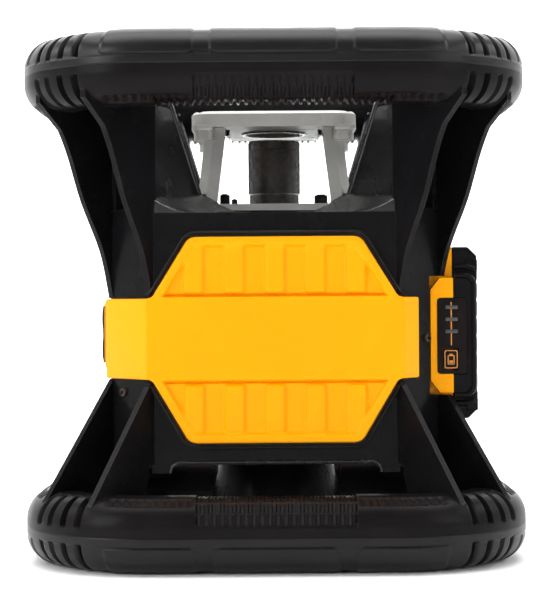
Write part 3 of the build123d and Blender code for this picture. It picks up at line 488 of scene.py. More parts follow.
def corner_slots(s, out, off):
    """Four deep slots across each corner, clear of the parting line and of the tube's inside."""
    pitch_deg, half_width, deep = 8.4, 1.15, 3.0
    angle = np.degrees(np.maximum(s - STRAIGHT, 0.0) / CORNER_MIDDLE)
    away = 45.0 - angle
    nearest = np.minimum(np.abs(away - 0.5 * pitch_deg), np.abs(away - 1.5 * pitch_deg))
    across = np.radians(nearest) * RING["corner"]
    slot = 1.0 - smoothstep(across, half_width - 0.3, half_width + 0.5)
    return deep * slot * between(off, 4.4, 15.0, 1.3) * smoothstep(out, -6.0, -3.5)


def crown_relief(s, out, off):
    """Depth below the moulded skin on the half away from the case: raised pads and slots."""
    middle_end, side_start, side_end = 26.0, 33.8, 66.8
    pad_height, pad_start, pad_corner = 0.55, 4.6, 1.2
    outer = smoothstep(out, -3.0, 0.0)
    middle = between(s, -1.0, middle_end, 0.5)
    side = between(s, side_start, side_end, 0.5)
    clipped = smoothstep(s, middle_end - 2.5, middle_end) * middle
    clipped = clipped + (1.0 - smoothstep(s, side_start, side_start + 2.2)) * side
    reach = pad_start + pad_corner * clipped
    pad = np.maximum(middle, side) * smoothstep(off, reach - 0.5, reach + 0.1)
    face = 1.0 - smoothstep(off, reach - 1.3, reach - 0.8)
    depth = pad_height * (1.0 - pad) * (1.0 - face * outer)
    depth = depth + seam(off)
    return depth + corner_slots(s, out, off)


def rib_relief(s, out, off, toothed):
    """Depth below the moulded skin on the half that faces the case: ribs, teeth and slots."""
    zone_start, upper_end, lower_start, lower_end, beneath = 4.2, 9.2, 9.8, 13.6, 14.3
    upper_depth, lower_depth, tooth_depth, lip_height = 0.75, 0.65, 1.6, 0.3
    outer = smoothstep(out, -11.0, -9.0)
    wave = 0.5 + 0.5 * np.cos(2.0 * math.pi * s / RIB_PITCH)
    fine = 0.5 + 0.5 * np.cos(4.0 * math.pi * s / RIB_PITCH)
    arch = zone_start + 0.4 + 0.9 * wave
    groove = smoothstep(wave, 0.45, 0.85)
    fine_groove = smoothstep(fine, 0.4, 0.9)
    zone = between(s, -1.0, RIB_ZONE, 0.3)
    # the middle zone: round-headed ribs, then a row of finer ones
    upper = zone * smoothstep(off, arch - 0.3, arch + 0.3)
    upper = upper * (1.0 - smoothstep(off, upper_end, upper_end + 0.6))
    lower = zone * smoothstep(off, lower_start, lower_start + 0.5)
    lower = lower * (1.0 - smoothstep(off, lower_end, lower_end + 0.6))
    depth = 0.25 * zone * smoothstep(off, zone_start, zone_start + 0.4)
    depth = depth + upper_depth * upper * groove + lower_depth * lower * fine_groove
    # the stretch that faces the case
    beyond = smoothstep(off, beneath, beneath + 0.7) * outer
    if toothed:
        depth = depth + tooth_depth * between(s, -1.0, TEETH, 0.3) * beyond * smoothstep(wave, 0.30, 0.62)
    else:
        depth = depth + zone * beyond * (0.2 + 0.45 * fine_groove)
    # the short zones on both sides
    low, high = STADIUM
    stadium = between(s, low, high, 0.4) * between(off, 12.9, 15.1, 0.35) * smoothstep(out, 0.0, 3.0)
    depth = depth + stadium * (0.25 + 0.85 * groove)
    # raised lips that frame the zones
    lip = np.exp(-((off - zone_start + 0.3) / 0.35) ** 2) * between(s, -1.0, RIB_ZONE + 0.4, 0.4)
    lip_end = np.exp(-((s - RIB_ZONE - 0.7) / 0.4) ** 2) * between(off, zone_start, 11.8, 0.5)
    lip_side = np.exp(-((off - 12.1) / 0.4) ** 2) * between(s, RIB_ZONE + 0.8, high + 0.6, 0.4)
    depth = depth - lip_height * np.maximum(np.maximum(lip, lip_end), lip_side) * smoothstep(out, 0.0, 3.0)
    return np.maximum(depth + seam(off) + corner_slots(s, out, off), 0.0)


def toothed_relief(s, out, off):
    """The rib relief with deep teeth beneath, as on the upper bumper."""
    return rib_relief(s, out, off, True)


def ribbed_relief(s, out, off):
    """The rib relief with its fine ribs carried on, as on the lower bumper."""
    return rib_relief(s, out, off, False)


def ring_rows(spans):
    """Frames round the ring's middle line: x, y, outward x and y, and the distance from the
    middle of the nearest side."""
    along = steps(*spans)
    full = np.concatenate([along, (2 * EIGHTH - along[::-1])[1:-1]])
    rows = []
    for quarter in range(4):
        turn = quarter * math.pi / 2
        c, n = math.cos(turn), math.sin(turn)
        for s in full:
            if s <= STRAIGHT:
                x, y, a = s, -(STRAIGHT + CORNER_MIDDLE), -math.pi / 2
            elif s >= 2 * EIGHTH - STRAIGHT:
                x, y, a = STRAIGHT + CORNER_MIDDLE, -(2 * EIGHTH - s), 0.0
            else:
                a = -math.pi / 2 + (s - STRAIGHT) / CORNER_MIDDLE
                x = STRAIGHT + CORNER_MIDDLE * math.cos(a)
                y = -STRAIGHT + CORNER_MIDDLE * math.sin(a)
            rows.append((x * c - y * n, x * n + y * c, math.cos(a + turn), math.sin(a + turn),
                         min(s, 2 * EIGHTH - s)))
    return np.array(rows)


def ring_half(name, node, z_middle, up_sign, relief, row_spans, section_spans):
    """One moulding of a bumper, from the parting plane over its crown or its ribs, closed by a
    flat at the parting plane."""
    rows = ring_rows(row_spans)
    pairs = [section_point(w) for w in steps(*section_spans)]
    points = np.array([p for p, n in pairs])
    normals = np.array([n for p, n in pairs])
    s = rows[:, 4][:, None]
    back = relief(s, points[:, 0][None, :], points[:, 1][None, :])
    radial = points[:, 0][None, :] - back * normals[:, 0][None, :]
    height = np.maximum(points[:, 1][None, :] - back * normals[:, 1][None, :], 0.0)
    x = rows[:, 0][:, None] + radial * rows[:, 2][:, None]
    y = rows[:, 1][:, None] + radial * rows[:, 3][:, None]
    z = z_middle + up_sign * height
    verts = np.stack([x, y, z], axis=-1).reshape(-1, 3) * MM
    n_rows, n_cols = len(rows), len(points)
    i, j = np.meshgrid(np.arange(n_rows), np.arange(n_cols), indexing="ij")
    i2, j2 = (i + 1) % n_rows, (j + 1) % n_cols
    faces = np.stack([i * n_cols + j, i2 * n_cols + j, i2 * n_cols + j2, i * n_cols + j2], axis=-1)
    if up_sign < 0:
        faces = faces[..., ::-1]
    mesh = bpy.data.meshes.new(name)
    mesh.from_pydata(verts.tolist(), [], faces.reshape(-1, 4).tolist())
    mesh.update()
    look = CROWN_RUBBER if relief is crown_relief else MATERIALS["black_rubber"]
    obj = new_object(name, mesh, look, "case", sharp=60.0)
    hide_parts(node)


HALF_ARC = RING["height"] + RING["width"] - 4 * RING["round"] + math.pi * RING["round"]
RIB_ROWS = ((0.0, 34.6, 0.50), (34.6, 50.2, 0.60), (50.2, 69.0, 0.66), (69.0, EIGHTH, 0.66))
RIB_SECTION = ((0.0, 4.0, 0.25), (4.0, 33.0, 0.55), (33.0, HALF_ARC, 1.7))
CROWN_ROWS = ((0.0, 24.0, 1.2), (24.0, 36.0, 0.6), (36.0, 65.0, 1.2), (65.0, EIGHTH, 0.55))
CROWN_SECTION = ((0.0, 3.0, 0.25), (3.0, 9.0, 0.55), (9.0, 34.0, 0.9), (34.0, HALF_ARC, 1.7))
RING_MIDDLE = RING["height"] / 2
TOP_MIDDLE = CAD_BOX[1][2] / MM - RING_MIDDLE
ring_half("top_crown", "top_bumper_upper", TOP_MIDDLE, 1.0, crown_relief, CROWN_ROWS, CROWN_SECTION)
ring_half("top_ribs", "top_bumper_lower", TOP_MIDDLE, -1.0, toothed_relief, RIB_ROWS, RIB_SECTION)
ring_half("bottom_ribs", "bottom_bumper_upper", RING_MIDDLE, 1.0, ribbed_relief, RIB_ROWS, RIB_SECTION)
ring_half("bottom_crown", "bottom_bumper_lower", RING_MIDDLE, -1.0, crown_relief, CROWN_ROWS, CROWN_SECTION)


# ---- front panel --------------------------------------------------------------------
PANEL = {"face": -77.0, "back": -72.6, "bottom": 52.5, "top": 141.4, "flat": 37.0, "half": 53.2,
         "band_low": 80.0, "band_high": 115.0, "corner": 5.5, "fillet": 3.6, "wide": 55.1}
PANEL_RIBS = {"pitch": 17.5, "half": 4.4, "tall": 21.4, "rows": (56.6, 117.0), "round": 1.8}


def segment_distance(x, z, a, b):
    """Distance from (x, z) to the segment from a to b."""
    ax, az = a
    dx, dz = b[0] - ax, b[1] - az
    t = np.clip(((x - ax) * dx + (z - az) * dz) / (dx * dx + dz * dz), 0.0, 1.0)
    return np.hypot(x - ax - t * dx, z - az - t * dz)


def fillet_chain(points, radii, count=9):
    """The polyline with each inner vertex rounded to its radius."""
    points = [np.array(q, dtype=float) for q in points]
    chain = [points[0]]
    for a, b, c, radius in zip(points[:-2], points[1:-1], points[2:], radii):
        u, v = (a - b) / np.linalg.norm(a - b), (c - b) / np.linalg.norm(c - b)
        half = 0.5 * math.acos(np.clip(np.dot(u, v), -1.0, 1.0))
        centre = b + (u + v) / np.linalg.norm(u + v) * radius / math.sin(half)
        first, last = b + u * radius / math.tan(half) - centre, b + v * radius / math.tan(half) - centre
        start = math.atan2(first[1], first[0])
        sweep = (math.atan2(last[1], last[0]) - start + math.pi) % (2 * math.pi) - math.pi
        for i in range(count + 1):
            a_i = start + sweep * i / count
            chain.append(centre + radius * np.array([math.cos(a_i), math.sin(a_i)]))
    return np.array(chain + [points[-1]])


def panel_chains(reach=62.0):
    """The panel's upper and lower edges, from left to right, in X and Z."""
    p = PANEL
    radii = (p["fillet"], p["corner"], p["corner"], p["fillet"])
    made = []
    for band, end in ((p["band_high"], p["top"]), (p["band_low"], p["bottom"])):
        made.append(fillet_chain([(-reach, band), (-p["half"], band), (-p["flat"], end),
                                  (p["flat"], end), (p["half"], band), (reach, band)], radii))
    return made


CHAINS = panel_chains()


def panel_edge_distance(x, z):
    """Distance inside the panel's upper and lower edges; the band's ends don't count."""
    away = np.full(np.broadcast(x, z).shape, 1e3)
    for chain in CHAINS:
        for a, b in zip(chain[:-1], chain[1:]):
            away = np.minimum(away, segment_distance(x, z, a, b))
    return away


def panel_half_width(z):
    """Half the panel's width at height z."""
    p = PANEL
    if p["band_low"] <= z <= p["band_high"]:
        return p["wide"]
    chain = CHAINS[0] if z > p["band_high"] else CHAINS[1]
    right = chain[len(chain) // 2:]
    order = np.argsort(right[:, 1], kind="stable")
    return min(p["wide"], float(np.interp(z, right[order, 1], right[order, 0])))


def panel_depth(x, z):
    """How far the panel's face stands back from its rim at (x, z)."""
    p, r = PANEL, PANEL_RIBS
    sunk, rib_height, groove_depth, rim = 2.2, 1.6, 0.8, 1.0
    edge = panel_edge_distance(x, z)
    beyond_band = np.abs(z - (p["band_low"] + p["band_high"]) / 2) - (p["band_high"] - p["band_low"]) / 2
    zone = smoothstep(edge, 3.1, 5.0) * smoothstep(beyond_band, 0.4, 1.2)
    ribs_half = 2.5 * r["pitch"]
    column = np.abs((x + ribs_half) % r["pitch"] - r["pitch"] / 2) - r["half"]
    low, high = r["rows"]
    row = np.minimum(np.abs(z - low - r["tall"] / 2), np.abs(z - high - r["tall"] / 2)) - r["tall"] / 2
    inset = r["round"]
    outside = np.hypot(np.maximum(column + inset, 0.0), np.maximum(row + inset, 0.0)) - inset
    rib = (1.0 - smoothstep(outside, -1.2, 0.8)) * (np.abs(x) < ribs_half)
    groove = between(beyond_band, 0.8, 1.5, 0.3) * (1.0 - rib)
    depth = zone * (sunk - rib_height * rib + groove_depth * groove)
    turn = np.clip(rim - edge, 0.0, rim)
    return depth + rim - np.sqrt(np.maximum(rim * rim - turn * turn, 0.0))


def add_grid(bm, points):
    """Adds a grid of points, shape (rows, columns, 3) in mm; returns its vertices."""
    rows, cols = points.shape[:2]
    verts = [[bm.verts.new(points[i, j] * MM) for j in range(cols)] for i in range(rows)]
    for i in range(rows - 1):
        for j in range(cols - 1):
            bm.faces.new((verts[i][j], verts[i][j + 1], verts[i + 1][j + 1], verts[i + 1][j]))
    return verts


def add_prism(bm, outline, low, high, axis, radius, segments=3):
    """Adds a rounded prism; the outline lies across the axis, in the order of the other two."""
    place = {"X": lambda a, b, h: (h, a, b),
             "Y": lambda a, b, h: (a, h, b),
             "Z": lambda a, b, h: (a, b, h)}[axis]
    new = bmesh.new()
    rings = [[new.verts.new(np.array(place(a, b, h)) * MM) for a, b in outline] for h in (low, high)]
    new.faces.new(rings[0])
    new.faces.new(rings[1][::-1])
    bridge(new, rings)
    bmesh.ops.recalc_face_normals(new, faces=new.faces)
    round_edges(new, new.edges[:], radius, segments)
    merge(bm, new)


def rectangle(x0, x1, z0, z1):
    """A rectangle's corners, in order."""
    return [(x0, z0), (x1, z0), (x1, z1), (x0, z1)]


def to_object(bm, name, material, body, sharp=35.0):
    """Closes the bmesh into a finished piece."""
    mesh = bpy.data.meshes.new(name)
    bm.to_mesh(mesh)
    bm.free()
    return new_object(name, mesh, material, body, sharp)


def front_panel_moulding():
    """The yellow cover: a rimmed face with ribbed zones, and the band's two wrapped ends."""
    p = PANEL
    low, high = p["band_low"], p["band_high"]
    zs = steps((p["bottom"], low, 0.42), (low, high, 1.1), (high, p["top"], 0.42))
    across = np.linspace(-1.0, 1.0, 215)
    widths = np.array([panel_half_width(z) for z in zs])
    x = widths[:, None] * across[None, :]
    z = np.repeat(zs[:, None], len(across), axis=1)
    y = p["face"] + panel_depth(x, z)
    front = np.stack([x, y, z], axis=-1)
    bm = bmesh.new()
    verts = add_grid(bm, front)
    right_side = [row[-1] for row in verts[1:]]
    left_side = [row[0] for row in verts[-2:0:-1]]
    loop = verts[0][:] + right_side + verts[-1][-2::-1] + left_side
    back = [bm.verts.new((v.co.x, p["back"] * MM, v.co.z)) for v in loop]
    for i in range(len(loop)):
        k = (i + 1) % len(loop)
        bm.faces.new((loop[k], loop[i], back[i], back[k]))
    bmesh.ops.recalc_face_normals(bm, faces=bm.faces)
    # the band's ends, seen from above, where they wrap round the case's chamfers
    left = [(-52.2, -76.9), (-55.5, -76.5), (-74.7, -54.9), (-74.7, -51.9), (-72.5, -51.9),
            (-72.5, -54.3), (-54.3, -72.5), (-52.2, -72.5)]
    right = [(52.2, -76.9), (55.5, -76.5), (62.4, -68.67), (62.4, -64.4), (54.3, -72.5), (52.2, -72.5)]
    for outline in (left, right):
        add_prism(bm, outline, low, high, "Z", 0.8)
    obj = to_object(bm, "front_panel_moulding", MATERIALS["yellow_plastic"], "case", 50.0)
    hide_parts("front_panel")


def sweep_profile(bm, path, normals, profile, place):
    """Sweeps a profile of (offset, depth) pairs along a flat path; place makes a 3-D point."""
    rows = [[place(q + n * off, depth) for off, depth in profile] for q, n in zip(path, normals)]
    return add_grid(bm, np.array(rows))


def chain_normals(chain, sign):
    """Unit normals of a flat polyline, on the side that sign picks."""
    step = np.gradient(chain, axis=0)
    step /= np.linalg.norm(step, axis=1)[:, None]
    return np.stack([-step[:, 1], step[:, 0]], axis=1) * sign


def panel_seal():
    """The black seal's rounded lip, which follows the panel's edge."""
    profile = [(0.3, -72.3), (0.35, -72.9), (1.25, -73.0), (1.45, -73.9), (1.75, -74.2), (2.2, -74.15),
               (2.5, -73.8), (2.7, -73.2), (2.8, -72.3)]
    bm = bmesh.new()
    for chain, sign in zip(panel_chains(56.0), (1.0, -1.0)):
        rows = sweep_profile(bm, chain, chain_normals(chain, sign), profile, lambda q, d: (q[0], d, q[1]))
        for end in (rows[0], rows[-1]):
            bm.faces.new(end)
    bmesh.ops.recalc_face_normals(bm, faces=bm.faces)
    obj = to_object(bm, "panel_seal", MATERIALS["seal_rubber"], "case", 50.0)
    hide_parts("front_gasket")


front_panel_moulding()
panel_seal()


# ---- saddles between the deck and the posts -----------------------------------------
DECK = 152.0


def saddle_grid():
    """Points of one saddle: rows along the post's wall, each from inside the wall out over the deck."""
    front, sunk, hollow = -72.2, 0.4, 1.8
    wall_a, wall_b = np.array([54.3, -72.5]), np.array([30.9, -32.7])
    along = (wall_b - wall_a) / np.linalg.norm(wall_b - wall_a)
    toward = np.array([-along[1], along[0]])
    grid = []
    for t in np.linspace(0.0, 1.0, 26):
        row = []
        tall, spread = 7.2 + 3.4 * t, 15.0 + 12.0 * t
        for away in np.linspace(-0.15, 1.0, 22):
            x, y = wall_a + (wall_b - wall_a) * t + toward * spread * away
            if y < front:
                # slide along the wall so that every row ends on the deck's front edge
                x, y = x + along[0] / along[1] * (front - y), front
                away = abs(np.dot(np.array([x, y]) - wall_a, toward)) / spread
            rise = tall * (1.0 - min(max(away, 0.0), 1.0)) ** hollow
            row.append((x, y, DECK - sunk + rise))
        grid.append(row)
    return np.array(grid)


def saddles():
    """Curved fillets where the posts' inner walls rise from the deck."""
    grid = saddle_grid()
    bm = bmesh.new()
    front_wall = grid
    side_wall = grid[..., [1, 0, 2]] * [-1.0, -1.0, 1.0]
    for saddle in (front_wall, side_wall):
        for sx, sy in QUADRANTS:
            verts = add_grid(bm, saddle * [sx, sy, 1.0])
            skirt = [bm.verts.new((v.co.x, v.co.y, (DECK - 1.0) * MM)) for v in verts[0]]
            for i in range(len(skirt) - 1):
                bm.faces.new((verts[0][i], verts[0][i + 1], skirt[i + 1], skirt[i]))
    bmesh.ops.recalc_face_normals(bm, faces=bm.faces)
    for face in bm.faces:
        if face.normal.z < -0.2:
            face.normal_flip()
    to_object(bm, "deck_saddles", BRIGHT_PLASTIC, "case", 60.0)


saddles()


# ---- lantern's small blocks, gauge print and grips -----------------------------------
def lantern_blocks():
    """Small moulded stops on the deck inside the lantern."""
    bm = bmesh.new()
    base, deep = 156.6, 4.5
    for x0, x1, y, tall in ((-25.0, -20.5, -21.0, 6.0), (-19.7, -17.0, -19.0, 4.0), (18.5, 24.5, -20.5, 5.5)):
        top = base + tall
        add_prism(bm, rectangle(x0, x1, y, y + deep), base, top, "Z", 0.4)
        add_prism(bm, rectangle(x0 - 0.7, x1 + 0.7, y - 0.6, y + deep + 0.6), base, base + 1.2, "Z", 0.3)
        add_prism(bm, rectangle(x0 + 1.0, x1 - 1.0, y + 0.8, y + deep - 1.1), top - 0.3, top + 0.5, "Z", 0.2)
    to_object(bm, "lantern_blocks", MATERIALS["black_plastic"], "case")


def outline_loop(x0, x1, z0, z1, radius):
    """A rounded rectangle's points, counterclockwise."""
    points = []
    count = 6
    for cx, cz, start in ((x1 - radius, z1 - radius, 0), (x0 + radius, z1 - radius, 90),
                          (x0 + radius, z0 + radius, 180), (x1 - radius, z0 + radius, 270)):
        for i in range(count + 1):
            a = math.radians(start + 90.0 * i / count)
            points.append((cx + radius * math.cos(a), cz + radius * math.sin(a)))
    return points


def add_frame(bm, outer, inner, y_front, y_back):
    """A raised flat frame between two loops that have the same number of points."""
    loops = [[bm.verts.new((x * MM, y * MM, z * MM)) for x, z in loop]
             for loop, y in ((outer, y_back), (outer, y_front), (inner, y_front), (inner, y_back))]
    bridge(bm, loops)


def gauge_print():
    """Three lamp bars, the line through them, and the framed battery sign on the button."""
    plate, key = -57.3, -58.1
    lamps = bmesh.new()
    for z in (110.3, 105.0, 99.7):
        add_prism(lamps, rectangle(75.0, 80.4, z - 0.8, z + 0.8), plate - 0.45, plate + 0.2, "Y", 0.25)
    to_object(lamps, "gauge_lamps", LAMP_BAR, "pack")
    line = bmesh.new()
    add_prism(line, rectangle(77.3, 77.8, 93.5, 112.6), plate - 0.12, plate + 0.1, "Y", 0.04, 1)
    to_object(line, "gauge_line", ORANGE_PRINT, "pack")
    sign = bmesh.new()
    x, z = 77.3, 87.4
    add_frame(sign, outline_loop(x - 2.9, x + 2.9, z - 4.0, z + 4.0, 0.9),
              outline_loop(x - 2.5, x + 2.5, z - 3.6, z + 3.6, 0.6), key - 0.08, key + 0.1)
    add_frame(sign, outline_loop(x - 1.5, x + 1.5, z - 2.3, z + 1.8, 0.4),
              outline_loop(x - 1.1, x + 1.1, z - 1.9, z + 1.4, 0.2), key - 0.08, key + 0.1)
    add_prism(sign, rectangle(x - 0.7, x + 0.7, z + 1.8, z + 2.4), key - 0.08, key + 0.1, "Y", 0.03, 1)
    add_prism(sign, rectangle(x - 0.8, x + 0.8, z - 1.6, z - 0.5), key - 0.08, key + 0.1, "Y", 0.03, 1)
    bmesh.ops.recalc_face_normals(sign, faces=sign.faces)
    to_object(sign, "gauge_sign", ORANGE_PRINT, "gauge_key")


def add_tube(bm, path, radius, sides=10):
    """A round bar along a 3-D path, closed at both ends."""
    path = np.array(path, dtype=float)
    tangents = np.gradient(path, axis=0)
    rings = []
    for q, t in zip(path, tangents):
        forward = Vector(t).normalized()
        side = forward.cross(Vector((0.0, 1.0, 0.0))).normalized()
        up = forward.cross(side)
        rings.append([bm.verts.new((Vector(q) + radius * (math.cos(a) * side + math.sin(a) * up)) * MM)
                      for a in angles_round(sides)])
    bridge(bm, rings)
    bm.faces.new(rings[0])
    bm.faces.new(rings[-1])


def pack_trim():
    """Grip blocks along the pack's outer face, a raised rim round its gauge and two bars by it."""
    bm = bmesh.new()
    block_count, block_tall, pitch, first = 8, 6.8, 8.0, 66.2
    for i in range(block_count):
        z0 = first + pitch * i
        add_prism(bm, rectangle(-47.0, 46.0, z0, z0 + block_tall), 88.6, 90.3, "X", 0.6)
    for z0, z1 in ((126.0, 131.5), (64.5, 70.0)):
        add_prism(bm, rectangle(84.5, 89.7, z0, z1), -53.0, -40.0, "Y", 0.6)
    rim = fillet_chain([(79.2, 124.4), (87.6, 124.4), (87.6, 71.6), (79.2, 71.6)], (4.2, 4.2), 8)
    add_tube(bm, [(x, -56.6, z) for x, z in rim], 1.15)
    for z, lean in ((128.2, -1.2), (67.8, 1.2)):
        bar = fillet_chain([(79.4, z), (85.0, z), (88.0, z + lean)], (3.0,), 4)
        add_tube(bm, [(x, -52.8, h) for x, h in bar], 1.3)
    bmesh.ops.recalc_face_normals(bm, faces=bm.faces)
    to_object(bm, "pack_trim", MATERIALS["black_plastic"], "pack", 45.0)


def lathe(bm, profile, base, axis):
    """Turns a profile of (radius, height) pairs about an axis through base."""
    z = Vector(axis).normalized()
    x = z.orthogonal().normalized()
    y = z.cross(x)
    rings = []
    for radius, height in profile:
        centre = Vector(base) + z * height
        rings.append([bm.verts.new((centre + radius * (math.cos(a) * x + math.sin(a) * y)) * MM)
                      for a in angles_round(28)])
    bridge(bm, rings)
    bm.faces.new(rings[0])
    bm.faces.new(rings[-1])


def post_edges():
    """The rolled inner edges of the four posts, from the deck up to the ring."""
    bm = bmesh.new()
    foot, head = np.array([31.5, 31.5, 151.5]), np.array([48.4, 48.4, 206.5])
    for sx, sy in QUADRANTS:
        path = [(foot + (head - foot) * t) * [sx, sy, 1.0] for t in np.linspace(0.0, 1.0, 12)]
        add_tube(bm, path, 1.9, 14)
    bmesh.ops.recalc_face_normals(bm, faces=bm.faces)
    to_object(bm, "post_edges", BRIGHT_PLASTIC, "case", 50.0)


def case_lips():
    """A rolled lip under the case's front and rear faces that turns down into its feet."""
    belly, foot, foot_end, face, inside, turn = 43.0, 45.6, 39.6, 72.4, 67.0, 4.4
    arc = [(foot - turn * (1 - math.cos(a)), foot_end + turn * math.sin(a))
           for a in np.linspace(0.0, math.pi / 2, 9)]
    bm = bmesh.new()
    for sy in (-1.0, 1.0):
        path = [(-x, sy * face, z) for x, z in arc] + [(x, sy * face, z) for x, z in arc[::-1]]
        add_tube(bm, path, 0.75, 10)
        for sx in (-1.0, 1.0):
            outline = [(sx * x, z) for x, z in arc] + [(sx * foot, belly + 1.0)]
            add_prism(bm, outline, *sorted((sy * face, sy * inside)), "Y", 0.2)
    bmesh.ops.recalc_face_normals(bm, faces=bm.faces)
    to_object(bm, "case_lips", BRIGHT_PLASTIC, "case", 50.0)


def lantern_lug(sx, sy):
    """One tapered corner lug with a pocket in each sloping face, in the quadrant that the signs pick."""
    lug = bmesh.new()
    rings = []
    for z, near, far in ((193.4, 27.6, 37.2), (190.8, 27.6, 37.2), (186.6, 28.6, 33.6)):
        rings.append([lug.verts.new((sx * x * MM, sy * y * MM, z * MM))
                      for x, y in ((near, near), (far, near), (far, far), (near, far))])
    lug.faces.new(rings[0])
    lug.faces.new(rings[2][::-1])
    bridge(lug, rings)
    bmesh.ops.recalc_face_normals(lug, faces=lug.faces)
    outside = 33.0 * MM
    corner = [edge for edge in lug.edges
              if all(min(abs(vert.co.x), abs(vert.co.y)) > outside for vert in edge.verts)]
    round_edges(lug, corner, 2.6, 4)
    pocket_area = 12.0 * MM * MM
    slants = [face for face in lug.faces if face.calc_area() > pocket_area and -0.9 < face.normal.z < -0.3]
    bmesh.ops.inset_individual(lug, faces=slants, thickness=0.9 * MM, depth=-0.9 * MM)
    round_edges(lug, lug.edges[:], 0.22, 2)
    return lug


def lantern_corners():
    """The four lugs under the corners of the lantern's plate."""
    bm = bmesh.new()
    for sx, sy in QUADRANTS:
        merge(bm, lantern_lug(sx, sy))
    to_object(bm, "lantern_corners", MATERIALS["cast_aluminium"], "case")


def aperture_liner():
    """The black sleeve with a flange that lines the bore of the lantern's plate."""
    bm = bmesh.new()
    rings = []
    for radius, z in ((14.45, 198.3), (14.45, 192.2), (15.3, 192.1), (15.3, 191.6), (13.6, 191.6),
                      (13.4, 192.0), (13.4, 198.3)):
        rings.append([bm.verts.new((radius * math.cos(a) * MM, radius * math.sin(a) * MM, z * MM))
                      for a in angles_round(72)])
    bridge(bm, rings + rings[:1])
    bmesh.ops.recalc_face_normals(bm, faces=bm.faces)
    to_object(bm, "aperture_liner", MATERIALS["rotor_black"], "case")


def chamfer_screws():
    """A cap screw on the case's chamfer beside the pack, and its match on the other side."""
    bm = bmesh.new()
    profile = [(2.0, -0.5), (2.0, 0.9), (1.75, 1.3), (1.1, 1.45), (1.0, 1.35), (0.95, 0.5)]
    for sx in (-1.0, 1.0):
        lathe(bm, profile, (66.3 * sx, -60.5, 74.0 if sx < 0 else 97.0), (sx, -1.0, 0.0))
    bmesh.ops.recalc_face_normals(bm, faces=bm.faces)
    to_object(bm, "chamfer_screws", MATERIALS["rotor_black"], "case")


lantern_blocks()
gauge_print()
pack_trim()
chamfer_screws()
post_edges()
case_lips()
lantern_corners()
aperture_liner()


# ---- CAD pieces with rounded edges --------------------------------------------------
# how far each CAD node's edges are rounded, in mm
SOFT = {"cage_post_front_left": 0.7, "cage_post_front_right": 0.7, "cage_post_rear_left": 0.7,
        "cage_post_rear_right": 0.7, "base_struts": 0.7, "upper_housing": 1.3, "lower_housing": 1.2,
        "base_hub": 0.8, "rear_panel": 0.8, "keypad_bezel": 0.8, "keypad_plate": 0.3,
        "head_frame": 0.8, "battery_dock": 0.5, "pack_upper_case": 0.8, "pack_lower_case": 0.8,
        "pack_latch": 0.5, "gauge_panel": 0.15, "gauge_button": 0.3, "rotor_cap": 0.4,
        "rotor_head": 0.2, "base_tripod_insert": 0.4, "rear_tripod_insert": 0.4,
        "panel_screws": 0.25, "head_screws": 0.25, "top_glass": 0.2, "optical_bench": 0.4}
for node, radius in SOFT.items():
    softened(node, radius)
for key in ("speed", "power", "scan", "slope_left", "manual", "slope_right"):
    softened("button_" + key, 0.6)

for node, obj in NODES.items():
    obj.data.materials.clear()
    obj.data.materials.append(LOOK_OF[node])


# ---- floor, light and camera --------------------------------------------------------
def wall_profile(low, high, radius=0.9, top=3.0):
    """(position, height) pairs of a level stretch from low to high that curves up into a wall at each end."""
    curve = [(radius * math.sin(a), radius * (1 - math.cos(a))) for a in np.linspace(0.0, math.pi / 2, 13)]
    rising = [(high + run, height) for run, height in curve] + [(high + radius, top)]
    falling = [(low - run, height) for run, height in curve] + [(low - radius, top)]
    return falling[::-1] + rising


def backdrop():
    """A pale floor that lies under the object and curves up into walls far from it on all sides."""
    across, along = wall_profile(-2.2, 2.2), wall_profile(-3.0, 1.2)
    verts = [(x, y, max(zx, zy)) for x, zx in across for y, zy in along]
    n = len(along)
    faces = [(i * n + j, (i + 1) * n + j, (i + 1) * n + j + 1, i * n + j + 1)
             for i in range(len(across) - 1) for j in range(n - 1)]
    mesh = bpy.data.meshes.new("backdrop")
    mesh.from_pydata(verts, [], faces)
    mesh.shade_smooth()
    s = Shader("pale_paper", (0.9, 0.9, 0.9), 0.7)
    s.tint(s.ramp(s.noise(300.0, 2.0), 0.3, 0.7, 0.0, 0.4), (0.88, 0.88, 0.885))
    mesh.materials.append(s.material)
    obj = bpy.data.objects.new("backdrop", mesh)
    scene.collection.objects.link(obj)


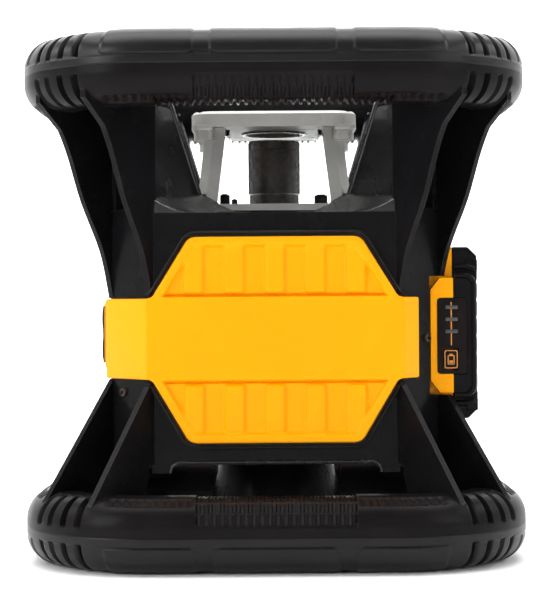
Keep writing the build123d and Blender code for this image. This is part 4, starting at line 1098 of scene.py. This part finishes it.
def softbox(name, place, target, size, watts):
    """A rectangular area lamp that faces a target."""
    lamp = bpy.data.lights.new(name, "AREA")
    lamp.shape = "RECTANGLE"
    lamp.size, lamp.size_y = size
    lamp.energy = watts
    obj = bpy.data.objects.new(name, lamp)
    obj.location = place
    obj.rotation_euler = (Vector(target) - Vector(place)).to_track_quat("-Z", "Y").to_euler()
    scene.collection.objects.link(obj)


backdrop()
MIDDLE = (0.0, 0.0, 0.12)
# place, what the lamp faces, its size, and its power in watts
LAMPS = {"overhead": ((0.0, -0.1, 1.5), MIDDLE, (1.8, 0.8), 28.0),
         "sky": ((0.0, 0.85, 1.45), MIDDLE, (1.8, 0.9), 15.0),
         "left_front": ((-1.15, -1.05, 0.75), MIDDLE, (0.5, 0.9), 12.0),
         "right_front": ((1.15, -1.05, 0.75), MIDDLE, (0.5, 0.9), 4.5),
         "left_side": ((-1.15, 0.0, 0.95), MIDDLE, (0.9, 0.35), 4.0),
         "right_side": ((1.15, 0.0, 0.95), MIDDLE, (0.9, 0.35), 4.0),
         "wall": ((0.0, 0.9, 1.5), (0.0, 2.0, 0.9), (3.0, 0.6), 72.0),
         "left_wall": ((-1.9, -0.4, 1.5), (-3.1, -0.4, 0.9), (3.0, 0.6), 13.0),
         "right_wall": ((1.9, -0.4, 1.5), (3.1, -0.4, 0.9), (3.0, 0.6), 13.0),
         "front_wall": ((0.0, -2.6, 1.5), (0.0, -3.9, 0.9), (3.0, 0.6), 4.5)}
for lamp_name, settings in LAMPS.items():
    softbox(lamp_name, *settings)
world = bpy.data.worlds.new("studio")
world.use_nodes = True
background = world.node_tree.nodes["Background"]
background.inputs["Color"].default_value = (1.0, 1.0, 1.0, 1.0)
background.inputs["Strength"].default_value = 0.10
scene.world = world
scene.view_settings.view_transform = "Standard"

camera_data = bpy.data.cameras.new("camera")
camera_data.sensor_fit = "VERTICAL"
camera_data.sensor_height = 36.0
camera_data.lens = 108.0
camera = bpy.data.objects.new("camera", camera_data)
EYE_DISTANCE = 0.85
EYE_HEIGHT = 0.114
ROLL = math.radians(-0.4)
camera.location = (0.0, -EYE_DISTANCE, EYE_HEIGHT)
camera.rotation_euler = (Matrix.Rotation(math.pi / 2, 3, "X") @ Matrix.Rotation(ROLL, 3, "Z")).to_euler()
scene.collection.objects.link(camera)
scene.camera = camera
